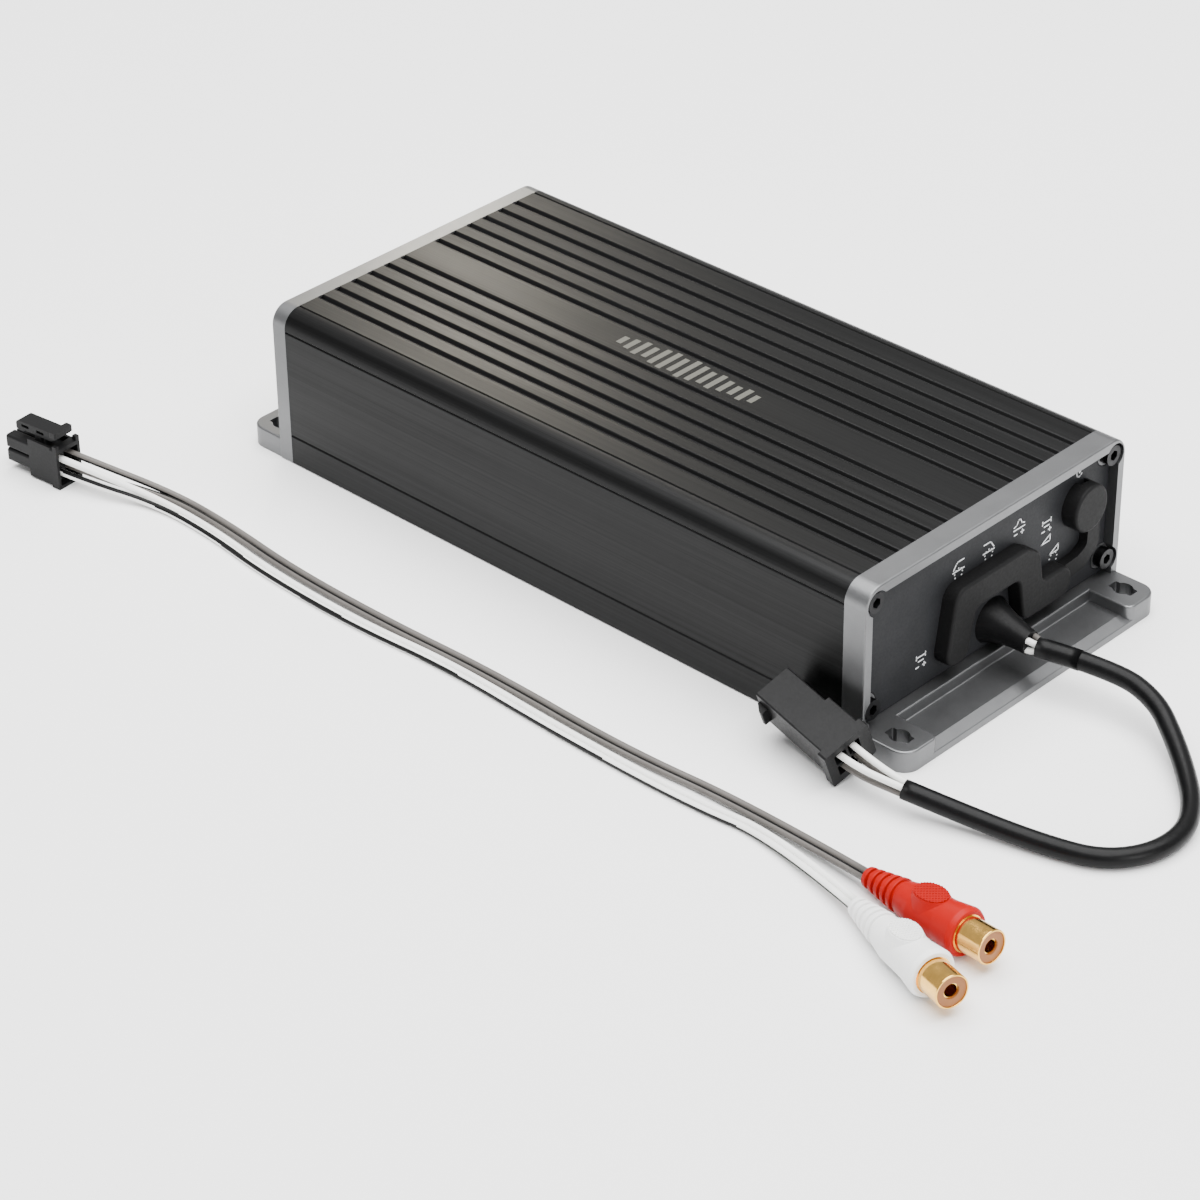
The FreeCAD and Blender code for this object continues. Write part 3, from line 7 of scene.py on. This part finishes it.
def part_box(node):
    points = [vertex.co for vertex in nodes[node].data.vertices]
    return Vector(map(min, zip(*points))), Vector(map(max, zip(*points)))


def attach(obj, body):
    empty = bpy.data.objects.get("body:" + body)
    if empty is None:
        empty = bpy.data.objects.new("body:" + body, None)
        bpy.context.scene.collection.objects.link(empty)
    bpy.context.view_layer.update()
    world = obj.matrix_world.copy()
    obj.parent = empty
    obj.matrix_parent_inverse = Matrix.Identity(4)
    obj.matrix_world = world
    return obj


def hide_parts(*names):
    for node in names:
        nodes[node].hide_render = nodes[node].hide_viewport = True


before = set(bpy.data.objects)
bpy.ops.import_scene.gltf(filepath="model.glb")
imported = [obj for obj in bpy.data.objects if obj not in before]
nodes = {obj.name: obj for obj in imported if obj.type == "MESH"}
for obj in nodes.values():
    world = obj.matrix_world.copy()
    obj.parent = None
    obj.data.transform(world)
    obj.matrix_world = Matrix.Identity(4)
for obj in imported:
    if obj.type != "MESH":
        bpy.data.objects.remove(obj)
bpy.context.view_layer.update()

MM = 0.001
UP = Vector((0, 0, 1))
CORNERS = ((-1, -1), (-1, 1), (1, -1), (1, 1))


# ---------------------------------------------------------------- small helpers
def to_metres(points):
    """Points in millimetres as vectors in metres."""
    return [Vector(point) * MM for point in points]


def add_mesh(name, verts, faces, *mats):
    """New mesh object from vectors in metres."""
    mesh = bpy.data.meshes.new(name)
    mesh.from_pydata([tuple(vert) for vert in verts], [], faces)
    mesh.validate()
    obj = bpy.data.objects.new(name, mesh)
    bpy.context.scene.collection.objects.link(obj)
    for mat in mats:
        mesh.materials.append(mat)
    return obj


def smooth(obj):
    """Shade every face smooth."""
    for face in obj.data.polygons:
        face.use_smooth = True


# ---------------------------------------------------------------- materials
class Material:
    """A Principled material whose look is built from procedural nodes in the row frame."""

    def __init__(self, name, colour, roughness, metallic=0.0, **sockets):
        self.mat = bpy.data.materials.new(name)
        self.mat.use_nodes = True
        self.tree = self.mat.node_tree
        self.shader = self.tree.nodes["Principled BSDF"]
        self.colour = colour
        self.roughness = roughness
        self.shader.inputs["Base Color"].default_value = (*colour, 1.0)
        self.shader.inputs["Roughness"].default_value = roughness
        self.shader.inputs["Metallic"].default_value = metallic
        for socket, value in sockets.items():
            self.shader.inputs[socket.replace("_", " ")].default_value = value
        self.height = None
        self.place = self.tree.nodes.new("ShaderNodeTexCoord")

    def link(self, out, into):
        """Join one socket to another."""
        self.tree.links.new(out, into)

    def noise(self, scale, stretch=(1, 1, 1), detail=3.0, rough=0.55):
        """Noise in object space; stretch multiplies the coordinates."""
        mapping = self.tree.nodes.new("ShaderNodeMapping")
        mapping.inputs["Scale"].default_value = stretch
        self.link(self.place.outputs["Object"], mapping.inputs["Vector"])
        noise = self.tree.nodes.new("ShaderNodeTexNoise")
        noise.inputs["Scale"].default_value = scale
        noise.inputs["Detail"].default_value = detail
        noise.inputs["Roughness"].default_value = rough
        self.link(mapping.outputs["Vector"], noise.inputs["Vector"])
        return noise.outputs["Fac"]

    def span(self, value, low, high, start=0.3, end=0.7):
        """Map a noise value to a range of plain numbers."""
        node = self.tree.nodes.new("ShaderNodeMapRange")
        node.inputs["From Min"].default_value = start
        node.inputs["From Max"].default_value = end
        node.inputs["To Min"].default_value = low
        node.inputs["To Max"].default_value = high
        self.link(value, node.inputs["Value"])
        return node.outputs["Result"]

    def tint(self, value, dark, light, start=0.3, end=0.7):
        """Colour the base between two multiples of the material's colour."""
        ramp = self.tree.nodes.new("ShaderNodeValToRGB")
        ramp.color_ramp.elements[0].position = start
        ramp.color_ramp.elements[1].position = end
        ramp.color_ramp.elements[0].color = (*[c * dark for c in self.colour], 1)
        ramp.color_ramp.elements[1].color = (*[min(1.0, c * light) for c in self.colour], 1)
        self.link(value, ramp.inputs["Fac"])
        self.link(ramp.outputs["Color"], self.shader.inputs["Base Color"])
        return self

    def gloss(self, value, low, high, start=0.3, end=0.7):
        """Vary the roughness."""
        self.link(self.span(value, low, high, start, end), self.shader.inputs["Roughness"])
        return self

    def bump(self, value, depth, strength=1.0):
        """Add a bump of the given depth in metres."""
        node = self.tree.nodes.new("ShaderNodeBump")
        node.inputs["Strength"].default_value = strength
        node.inputs["Distance"].default_value = depth
        self.link(value, node.inputs["Height"])
        if self.height is not None:
            self.link(self.height, node.inputs["Normal"])
        self.height = node.outputs["Normal"]
        self.link(self.height, self.shader.inputs["Normal"])
        return self


def brushed_anodised():
    """Dark grey anodised aluminium, brushed along X."""
    made = Material("brushed_anodised", (0.0150, 0.0151, 0.0153), 0.38, 1.0)
    lines = made.noise(1.0, (6.0, 1300.0, 1300.0), 4.0, 0.65)
    cloud = made.noise(1.0, (4.0, 60.0, 60.0), 2.0)
    made.tint(lines, 0.72, 1.35, 0.25, 0.75)
    made.gloss(cloud, 0.36, 0.5)
    made.bump(lines, 0.00003, 0.55)
    return made.mat


def cast_satin():
    """Satin grey metallic finish of the end caps."""
    made = Material("cast_satin", (0.15, 0.152, 0.155), 0.36, 0.92)
    grain = made.noise(2600.0, detail=2.0)
    cloud = made.noise(90.0, detail=3.0)
    made.tint(cloud, 0.93, 1.07)
    made.gloss(grain, 0.34, 0.46)
    made.bump(grain, 0.00002, 0.5)
    return made.mat


def moulded(name, colour, roughness, grain=1500.0, depth=0.00002, contrast=0.12, **sockets):
    """Moulded plastic or rubber with a fine grain."""
    made = Material(name, colour, roughness, 0.0, **sockets)
    fine = made.noise(grain, detail=3.0)
    cloud = made.noise(120.0, detail=2.0)
    made.tint(cloud, 1.0 - contrast, 1.0 + contrast)
    made.gloss(fine, roughness - 0.05, roughness + 0.06)
    made.bump(fine, depth, 0.6)
    return made.mat


def plated(name, colour, roughness):
    """Plated or turned metal with faint wear."""
    made = Material(name, colour, roughness, 1.0)
    wear = made.noise(500.0, detail=4.0)
    made.tint(wear, 0.9, 1.06)
    made.gloss(wear, roughness * 0.75, roughness * 1.35)
    made.bump(made.noise(1800.0, detail=2.0), 0.00001, 0.3)
    return made.mat


def printed(name, colour):
    """Printed ink that is a little uneven."""
    made = Material(name, colour, 0.55)
    grain = made.noise(2200.0, detail=2.0)
    made.tint(grain, 0.9, 1.05)
    return made.mat


def copper_winding():
    """Enamelled copper wire laid round a ring."""
    made = Material("copper_winding", (0.55, 0.2, 0.07), 0.28, 0.9)
    made.tint(made.noise(700.0, detail=2.0), 0.7, 1.2)
    made.bump(made.noise(1.0, (900.0, 900.0, 90.0), 1.0), 0.0002, 0.7)
    return made.mat


anodised = brushed_anodised()
satin = cast_satin()
DULL = {"Specular_IOR_Level": 0.12}
SATIN = {"Specular_IOR_Level": 0.25}
panel_finish = moulded("panel_finish", (0.014, 0.0145, 0.016), 0.5, 1800.0, 0.000015, **DULL)
cover_rubber = moulded("cover_rubber", (0.0055, 0.0055, 0.0057), 0.6, 1200.0, 0.00004, **DULL)
boot_rubber = moulded("boot_rubber", (0.004, 0.004, 0.0043), 0.42, 1400.0, 0.00002, **DULL)
sheath_vinyl = moulded("sheath_vinyl", (0.003, 0.003, 0.0032), 0.34, 900.0, 0.00002, **DULL)
seal_rubber = moulded("seal_rubber", (0.008, 0.008, 0.008), 0.65, **DULL)
plug_nylon = moulded("plug_nylon", (0.006, 0.006, 0.0063), 0.42, 1600.0, 0.00003, **DULL)
inner_black = moulded("inner_black", (0.012, 0.012, 0.0125), 0.45, **SATIN)
shaft_white = moulded("shaft_white", (0.62, 0.61, 0.57), 0.45)
pot_blue = moulded("pot_blue", (0.05, 0.14, 0.36), 0.4)
header_white = moulded("header_white", (0.7, 0.69, 0.63), 0.45)
red_vinyl = moulded("red_vinyl", (0.31, 0.0015, 0.001), 0.42, 700.0, 0.00003, 0.05, **DULL)
white_vinyl = moulded("white_vinyl", (0.80, 0.80, 0.79), 0.4, 700.0, 0.00003, 0.03, **SATIN)
wire_white = moulded("wire_white", (0.80, 0.80, 0.78), 0.35, 900.0, 0.00002, 0.04, **SATIN)
wire_grey = moulded("wire_grey", (0.105, 0.097, 0.090), 0.38, 900.0, 0.00002, 0.08, **SATIN)
wire_black = moulded("wire_black", (0.006, 0.006, 0.006), 0.38, 900.0, 0.00002, 0.08, **DULL)
tan_insulator = moulded("tan_insulator", (0.26, 0.10, 0.03), 0.4, 900.0, 0.00002, 0.08, **SATIN)
board_green = moulded("board_green", (0.012, 0.10, 0.045), 0.35, 500.0, 0.00002, 0.2)
film_grey = moulded("film_grey", (0.32, 0.36, 0.38), 0.7)
ferrite = moulded("ferrite", (0.03, 0.03, 0.032), 0.6, 600.0, 0.00005)
can_sleeve = moulded("can_sleeve", (0.02, 0.024, 0.06), 0.25, 400.0, 0.00002)
gold = plated("gold", (0.86, 0.50, 0.12), 0.14)
nickel = plated("nickel", (0.62, 0.60, 0.56), 0.25)
steel = plated("steel", (0.5, 0.5, 0.5), 0.35)
black_oxide = plated("black_oxide", (0.02, 0.02, 0.021), 0.38)
copper = copper_winding()
label_ink = printed("label_ink", (0.70, 0.71, 0.72))
badge_ink = printed("badge_ink", (0.062, 0.061, 0.050))

FINISHES = {
    anodised: ["heatsink_extrusion"],
    satin: ["control_end_cap", "wire_end_cap"],
    panel_finish: ["control_panel", "wire_panel"],
    seal_rubber: ["control_gasket", "wire_gasket"],
    cover_rubber: ["control_cover"],
    boot_rubber: ["cable_boot"],
    black_oxide: ["control_cap_screws", "wire_cap_screws", "clamp_screws"],
    shaft_white: ["hi_pass_shaft", "lo_pass_shaft", "bass_boost_shaft", "gain_shaft",
                  "dc_offset_slider", "input_level_slider"],
    pot_blue: ["pot_housings"],
    steel: ["switch_housings", "clamp_bars"],
    inner_black: ["remote_jack", "board_link", "power_transistors", "power_socket",
                  "power_terminal_block"],
    nickel: ["remote_jack_nut", "power_blades", "pigtail_contacts", "adapter_contacts"],
    board_green: ["main_board", "control_board"],
    film_grey: ["thermal_pads"],
    ferrite: ["toroid_core"],
    copper: ["toroid_winding", "output_chokes"],
    can_sleeve: ["filter_capacitors"],
    header_white: ["input_header"],
    wire_grey: ["input_leads"],
    plug_nylon: ["pigtail_connector", "adapter_plug", "adapter_latch"],
    red_vinyl: ["red_jack_grip"],
    white_vinyl: ["white_jack_grip"],
    gold: ["red_jack_shell", "red_jack_contact", "white_jack_shell", "white_jack_contact"],
    tan_insulator: ["red_jack_insulator", "white_jack_insulator"],
}
for finish, names in FINISHES.items():
    for name in names:
        for material_slot in nodes[name].material_slots:
            material_slot.material = finish


# ---------------------------------------------------------------- cords
def route_spline(name, points):
    """Quadratic NURBS curve through the route's control points, with no bevel."""
    curve = bpy.data.curves.new(name, "CURVE")
    curve.dimensions = "3D"
    curve.resolution_u = 12
    spline = curve.splines.new("NURBS")
    spline.points.add(len(points) - 1)
    for knot, point in zip(spline.points, to_metres(points)):
        knot.co = (*point, 1.0)
    spline.order_u = 3
    spline.use_endpoint_u = True
    obj = bpy.data.objects.new(name, curve)
    bpy.context.scene.collection.objects.link(obj)
    return obj


def centreline(points):
    """Vertices along the route's own spline."""
    line = route_spline("route", points)
    bpy.context.view_layer.update()
    seen = bpy.context.evaluated_depsgraph_get()
    mesh = bpy.data.meshes.new_from_object(line.evaluated_get(seen))
    path = [vertex.co.copy() for vertex in mesh.vertices]
    curve = line.data
    bpy.data.objects.remove(line)
    bpy.data.curves.remove(curve)
    bpy.data.meshes.remove(mesh)
    return path


def tube(name, path, radius, mats, dark_band=None, sides=20):
    """Round tube along a path. dark_band is the (start, width, twist) of the faces that take the
    second material, in degrees from the top towards the -Y side; twist is its turn by the end. It
    carries printed stripes and painted shade between a pair of wires."""
    verts = []
    faces = []
    count = len(path)
    for index, point in enumerate(path):
        ahead = path[min(index + 1, count - 1)] - path[max(index - 1, 0)]
        ahead.normalize()
        side = ahead.cross(UP).normalized()
        top = side.cross(ahead).normalized()
        for step in range(sides):
            angle = 2 * math.pi * step / sides
            verts.append(point + (top * math.cos(angle) + side * math.sin(angle)) * radius)
    for ring in range(count - 1):
        for step in range(sides):
            following = (step + 1) % sides
            low = ring * sides
            high = low + sides
            faces.append((low + step, low + following, high + following, high + step))
    faces.append(tuple(range(sides)))
    faces.append(tuple(reversed(range((count - 1) * sides, count * sides))))
    obj = add_mesh(name, verts, faces, *mats)
    smooth(obj)
    obj.data.polygons[-1].use_smooth = False
    obj.data.polygons[-2].use_smooth = False
    if dark_band is not None:
        start, width, twist = dark_band
        for number, face in enumerate(obj.data.polygons[:(count - 1) * sides]):
            angle = 360 * ((number % sides) + 0.5) / sides
            turned = start + twist * (number // sides) / count
            if (angle - turned) % 360 < width:
                face.material_index = 1
    return obj


SHEATH_DIAMETER = 5.0
SLEEVE_RADIUS = 2.64
SLEEVE_REACH = 12.0
SLEEVE_LEAD = 0.3
CONDUCTOR_RADIUS = 0.85
LEAD_DIAMETER = 1.86
SHEATH_ROUTE = [
    (114.8, 1.9, 11.4),
    (134.5, 7.4, 10.8),
    (147.5, 6.0, 8.8),
    (157.6, -0.4, 6.0),
    (167.0, -8.0, 4.0),
    (174.6, -15.8, 2.9),
    (179.6, -25.2, 2.6),
    (179.0, -37.0, 2.6),
    (172.0, -46.8, 2.6),
    (160.0, -51.0, 2.7),
    (142.0, -55.2, 3.6),
    (124.2, -60.6, 6.6),
]
LEAD_HEIGHT = 0.95
HALF_PAIR = 0.97
RED_END = Vector((137.6, -89.0, 3.7))
WHITE_END = Vector((142.8, -99.2, 3.7))


def pair_side(turn):
    """Half the gap between a pair's two wires, across a socket turned by some degrees."""
    return Vector((math.sin(math.radians(turn)), math.cos(math.radians(turn)), 0)) * HALF_PAIR


RED_SIDE = pair_side(6.9)
WHITE_SIDE = pair_side(18.5)

PLUG_CENTRE = Vector((-134.7, -97.4, 5.8))
PLUG_TURN = Matrix.Rotation(math.radians(5.4), 3, "Z")
PLUG_REACH = -7.0
PLUG_COLUMN = 1.95
PLUG_ROW = 2.1
PLUG_LIFT = 0.4


def cell_end(side, row):
    """End of a wire inside a cell of the adapter plug."""
    spot = Vector((PLUG_REACH, side * PLUG_COLUMN, PLUG_LIFT + row * PLUG_ROW))
    return tuple(PLUG_CENTRE + PLUG_TURN @ spot)


LEAD_ROUTES = {
    "grey_lead": [
        cell_end(1, 1),
        (-126.5, -94.2, 8.4),
        (-108.0, -83.2, 1.3),
        (-86.0, -83.6, LEAD_HEIGHT),
        (-58.0, -86.8, LEAD_HEIGHT),
        (-22.0, -87.2, LEAD_HEIGHT),
        (14.0, -85.6, LEAD_HEIGHT),
        (60.0, -87.2, LEAD_HEIGHT),
        (98.0, -83.9, LEAD_HEIGHT),
        tuple(RED_END + RED_SIDE),
    ],
    "grey_black_lead": [
        cell_end(1, -1),
        (-126.5, -94.3, 4.0),
        (-108.0, -85.2, 1.1),
        (-86.0, -85.6, LEAD_HEIGHT),
        (-58.0, -88.8, LEAD_HEIGHT),
        (-22.0, -89.2, LEAD_HEIGHT),
        (14.0, -87.6, LEAD_HEIGHT),
        (60.0, -89.2, LEAD_HEIGHT),
        (98.0, -85.9, LEAD_HEIGHT),
        tuple(RED_END - RED_SIDE),
    ],
    "white_lead": [
        cell_end(-1, 1),
        (-126.5, -98.0, 8.4),
        (-108.0, -87.9, 1.3),
        (-86.0, -88.2, LEAD_HEIGHT),
        (-62.0, -91.4, LEAD_HEIGHT),
        (-28.0, -92.3, LEAD_HEIGHT),
        (4.0, -89.7, LEAD_HEIGHT),
        (42.0, -91.5, LEAD_HEIGHT),
        (86.0, -91.5, LEAD_HEIGHT),
        (110.0, -88.3, LEAD_HEIGHT),
        tuple(WHITE_END + WHITE_SIDE),
    ],
    "white_black_lead": [
        cell_end(-1, -1),
        (-126.5, -98.1, 4.0),
        (-108.0, -89.9, 1.1),
        (-86.0, -90.2, LEAD_HEIGHT),
        (-62.0, -93.4, LEAD_HEIGHT),
        (-28.0, -94.3, LEAD_HEIGHT),
        (4.0, -91.7, LEAD_HEIGHT),
        (42.0, -93.5, LEAD_HEIGHT),
        (86.0, -93.5, LEAD_HEIGHT),
        (110.0, -90.3, LEAD_HEIGHT),
        tuple(WHITE_END - WHITE_SIDE),
    ],
}

# sheathed pigtail, with its loose conductors at both ends
sheath_path = centreline(SHEATH_ROUTE)
sheath = tube("input_sheath", sheath_path, SHEATH_DIAMETER / 2 * MM, [sheath_vinyl], sides=32)
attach(sheath, "amplifier")
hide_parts("pigtail_sheath")


def outer_sleeve():
    """Short shrink sleeve over the sheath's first stretch."""
    path = []
    travelled = 0.0
    for before, after in zip(sheath_path, sheath_path[1:]):
        if travelled <= SLEEVE_REACH * MM:
            path.append(before)
        travelled += (after - before).length
    start = path[0] + (path[0] - path[1]).normalized() * SLEEVE_LEAD * MM
    piece = tube("input_sleeve", [start] + path[1:], SLEEVE_RADIUS * MM, [sheath_vinyl], sides=32)
    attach(piece, "amplifier")
    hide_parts("pigtail_sleeve")
    return piece


sleeve = outer_sleeve()


def conductor(name, points, white, family):
    """Short loose wire at one end of the pigtail, white or grey."""
    colour = "white" if white else "grey"
    base = wire_white if white else wire_grey
    piece = tube(name, centreline(points), CONDUCTOR_RADIUS * MM, [base], sides=16)
    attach(piece, "amplifier")
    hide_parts(family + "_" + colour)


BOOT_SPREAD = 1.45
BOOT_TIP = Vector((112.2, 2.0, 11.4))
for number, (dy, dz) in enumerate(CORNERS):
    spot = Vector((0, dy * BOOT_SPREAD, dz * BOOT_SPREAD))
    route = [
        tuple(BOOT_TIP + Vector((-4.6, 0, 0)) + spot),
        tuple(BOOT_TIP + Vector((0.5, 0, 0)) + spot),
        tuple(BOOT_TIP + Vector((1.9, 0.1, 0)) + spot * 0.62),
        tuple(BOOT_TIP + Vector((5.0, 0.9, -0.1)) + spot * 0.5),
    ]
    conductor("boot_wire_%d" % number, route, dy < 0, "boot_wires")

CONNECTOR_CENTRE = Vector((94.7, -59.2, 10.4))
CONNECTOR_TURN = (
    Matrix.Rotation(math.radians(-8.3), 3, "Z")
    @ Matrix.Rotation(math.radians(8.7), 3, "Y")
    @ Matrix.Rotation(math.radians(23.6), 3, "X")
)
CONNECTOR_REAR = 13.5
CONNECTOR_CELL = 2.1
sheath_tail = Vector(SHEATH_ROUTE[-1])
tail_way = (Vector(SHEATH_ROUTE[-2]) - sheath_tail).normalized()
for number, (dy, dz) in enumerate(CORNERS):
    spot = Vector((0, dy * CONNECTOR_CELL, dz * CONNECTOR_CELL))
    inside = Vector((CONNECTOR_REAR - 6.4, 0, 0)) + spot
    outside = Vector((CONNECTOR_REAR + 2.6, 0, 0)) + spot * 0.95
    meet = sheath_tail + spot * 0.42
    route = [
        tuple(CONNECTOR_CENTRE + CONNECTOR_TURN @ inside),
        tuple(CONNECTOR_CENTRE + CONNECTOR_TURN @ outside),
        tuple(meet),
        tuple(meet + tail_way * 5.0),
    ]
    conductor("fan_wire_%d" % number, route, dz > 0, "fan_wires")

# adapter lead: two zip-cord pairs from the plug to the phono sockets, with the start, width
# and twist of each lead's dark band: the printed stripe on white_black_lead, painted shade of the
# gap between the grey pair on grey_lead, and the printed stripe widened by that painted gap shade
# on grey_black_lead
STRIPES_AND_GAP_SHADE = {
    # painted shade: grey_lead itself is plain grey; this dark band on its lower side towards
    # grey_black_lead is a painted shadow of the gap between the two wires
    "grey_lead": (80, 110, 10),
    # partly print, partly painted shade: the wire's own dark stripe, widened on its top towards
    # grey_lead by a painted shadow of the gap between the pair
    "grey_black_lead": (300, 80, 0),
    "white_black_lead": (-30, 80, 110),
}
for lead_name, points in LEAD_ROUTES.items():
    if lead_name.startswith("grey"):
        base, slot_name, jack = wire_grey, "wire_grey", "red_jack"
    else:
        base, slot_name, jack = wire_white, "wire_white", "white_jack"
    path = centreline(points)
    lead = tube(lead_name + "_wire", path, LEAD_DIAMETER / 2 * MM, [base, wire_black],
                STRIPES_AND_GAP_SHADE.get(lead_name), sides=24)
    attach(lead, "amplifier")
    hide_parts(lead_name)


# ---------------------------------------------------------------- printed marks
PANEL_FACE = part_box("control_panel")[1][0] / MM
MARK_PROUD = 0.03
MARK_DEEP = 0.06
PANEL_STROKE = 0.34
BADGE_STROKE = 1.7
# a box by its corners: 0 to 3 go round the low face, 4 to 7 round the high one
BOX_FACES = ((4, 5, 6, 7), (3, 2, 1, 0), (0, 1, 5, 4), (1, 2, 6, 5), (2, 3, 7, 6), (3, 0, 4, 7))


def strokes_mesh(name, lines, width, place, mat):
    """Flat printed lines. Each line is a list of (u, v) points in millimetres; place turns
    (u, v, depth) into a point of the row frame."""
    verts = []
    faces = []
    for line in lines:
        for (u0, v0), (u1, v1) in zip(line, line[1:]):
            tail = Vector((u1 - u0, v1 - v0)).normalized() * (width / 2)
            across = Vector((-tail.y, tail.x))
            start = Vector((u0, v0)) - tail
            end = Vector((u1, v1)) + tail
            ends = [start - across, end - across, end + across, start + across]
            base = len(verts)
            for depth in (-MARK_DEEP, MARK_PROUD):
                verts += [place(u, v, depth) * MM for u, v in ends]
            faces += [[base + corner for corner in face] for face in BOX_FACES]
    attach(add_mesh(name, verts, faces, mat), "amplifier")


def on_panel(u, v, depth):
    """Point on the control panel's face from its y and z."""
    return Vector((PANEL_FACE + depth, u, v))


def arc(centre_u, centre_v, radius, start, end, steps=8):
    """Points of an arc between two angles in degrees."""
    points = []
    for step in range(steps + 1):
        angle = math.radians(start + (end - start) * step / steps)
        points.append((centre_u + radius * math.cos(angle), centre_v + radius * math.sin(angle)))
    return points


def shifted(lines, u, v):
    """Copy of the lines moved by (u, v)."""
    return [[(a + u, b + v) for a, b in line] for line in lines]


DIAL_RADIUS = 1.5
DIAL_LOW = 215
DIAL_HIGH = -35
DOT_REACH = 0.05


def ticks(u, v):
    """Dots of a dial scale, from its low end round to its high end."""
    points = arc(u, v, DIAL_RADIUS, DIAL_LOW, DIAL_HIGH, 6)
    return [[point, (point[0] + DOT_REACH, point[1])] for point in points]


# generic signs: response curves over a base line, a rising ramp, a switch, plus and minus
BASE_LINE = [(-2.1, -1.6), (2.1, -1.6)]
HIGH_PASS = [[(-1.9, -0.9), (-0.9, 0.5), (-0.3, 0.9), (1.9, 0.9)], BASE_LINE]
LOW_PASS = [[(-1.9, 0.9), (0.3, 0.9), (0.9, 0.5), (1.9, -0.9)], BASE_LINE]
BOOST = [[(-2.0, -0.7), (-1.0, -0.4), (-0.4, 0.9), (0.4, 0.9), (1.0, -0.4), (2.0, -0.7)],
         BASE_LINE]
RAMP = [[(-1.7, -0.8), (1.7, -0.8), (1.7, 1.0), (-1.7, -0.8)]]
SWITCH = [[(-1.7, -0.5), (-1.7, 0.5)], [(1.7, -0.5), (1.7, 0.5)], [(-1.7, 0), (1.7, 0)],
          [(-0.9, -1.3), (0.9, -1.3)]]
PLUS_MINUS = [[(-1.8, 0), (-0.8, 0)], [(0.8, 0), (1.8, 0)], [(1.3, -0.5), (1.3, 0.5)]]
REMOTE = [arc(0, 0, 1.1, 60, 330), [(0, 0), (1.2, 1.2)]]
panel_lines = (
    shifted(HIGH_PASS, -12.0, 35.4) + ticks(-12.0, 32.9)
    + shifted(LOW_PASS, -0.4, 35.4) + ticks(-0.4, 32.9)
    + shifted(BOOST, 11.4, 36.6) + shifted(PLUS_MINUS, 11.4, 33.6)
    + shifted(SWITCH, 22.6, 31.8) + shifted(PLUS_MINUS, 22.6, 29.2) + shifted(RAMP, 22.6, 26.4)
    + shifted(RAMP, 26.2, 22.0) + ticks(26.0, 19.6)
    + shifted(SWITCH, -25.2, 15.4) + shifted(PLUS_MINUS, -25.2, 12.6)
    + shifted(REMOTE, 34.9, 40.4)
)
strokes_mesh("panel_marks", panel_lines, PANEL_STROKE, on_panel, label_ink)

TOP_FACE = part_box("heatsink_extrusion")[1][2] / MM


def on_top(u, v, depth):
    """Point on the body's top from its x and y."""
    return Vector((u, v, TOP_FACE + depth))


BAR_HEIGHTS = (2.0, 3.6, 5.4, 4.0, 6.6, 7.6, 5.8, 8.2, 6.8, 5.0, 6.2, 4.2, 3.0, 4.4, 2.2)
BAR_STEP = 3.25
badge_lines = []
for index, height in enumerate(BAR_HEIGHTS):
    place = BAR_STEP * (index - len(BAR_HEIGHTS) // 2)
    badge_lines.append([(place, -height / 2), (place, height / 2)])
strokes_mesh("top_marks", badge_lines, BADGE_STROKE, on_top, badge_ink)


# ---------------------------------------------------------------- floor, light, camera
FLOOR_HALF = 6.0
WORLD_STRENGTH = 0.68


def add_floor():
    """Pale floor in one plain finish."""
    half = FLOOR_HALF
    mesh = bpy.data.meshes.new("floor")
    mesh.from_pydata([(-half, -half, 0), (half, -half, 0), (half, half, 0), (-half, half, 0)],
                     [], [(0, 1, 2, 3)])
    floor = bpy.data.objects.new("floor", mesh)
    bpy.context.scene.collection.objects.link(floor)
    finish = Material("floor_finish", (0.9, 0.9, 0.9), 0.9, 0.0, Specular_IOR_Level=0.1)
    mesh.materials.append(finish.mat)


def area_light(name, place, target, size, power, colour=(1, 1, 1)):
    """Rectangular softbox aimed at a point."""
    data = bpy.data.lights.new(name, "AREA")
    data.shape = "RECTANGLE"
    data.size = size[0]
    data.size_y = size[1]
    data.energy = power
    data.color = colour
    light = bpy.data.objects.new(name, data)
    light.location = place
    way = Vector(target) - Vector(place)
    light.rotation_euler = way.to_track_quat("-Z", "Y").to_euler()
    bpy.context.scene.collection.objects.link(light)
    return light


def add_world():
    """Even pale surroundings."""
    world = bpy.data.worlds.new("studio")
    bpy.context.scene.world = world
    world.use_nodes = True
    back = world.node_tree.nodes["Background"]
    back.inputs["Color"].default_value = (1.0, 1.0, 1.0, 1.0)
    back.inputs["Strength"].default_value = WORLD_STRENGTH


def add_camera():
    """Camera at the product's three-quarter view from above."""
    data = bpy.data.cameras.new("camera")
    data.sensor_width = 36.0
    data.lens = 115.5
    data.shift_x = -0.0047
    data.shift_y = -0.0030
    data.clip_end = 50.0
    camera = bpy.data.objects.new("camera", data)
    turn = Matrix.Rotation(math.radians(43.937), 4, "Z")
    tilt = Matrix.Rotation(math.radians(90.0 - 33.016), 4, "X")
    roll = Matrix.Rotation(math.radians(-0.737), 4, "Z")
    place = Matrix.Translation(Vector((580.8, -634.1, 535.6)) * MM)
    camera.matrix_world = place @ turn @ tilt @ roll
    bpy.context.scene.collection.objects.link(camera)
    bpy.context.scene.camera = camera


add_floor()
add_world()
area_light("top", (0.05, 0.0, 1.3), (0, 0, 0), (1.7, 1.7), 80)
area_light("front", (1.5, -0.35, 0.55), (0.1, 0, 0.03), (0.7, 0.7), 12)
glint = area_light("rear", (-0.30, 0.21, 0.24), (-0.075, -0.015, 0.046), (0.04, 0.04), 0.045,
                   (1.0, 0.93, 0.78))
glint.data.spread = math.radians(60)
add_camera()
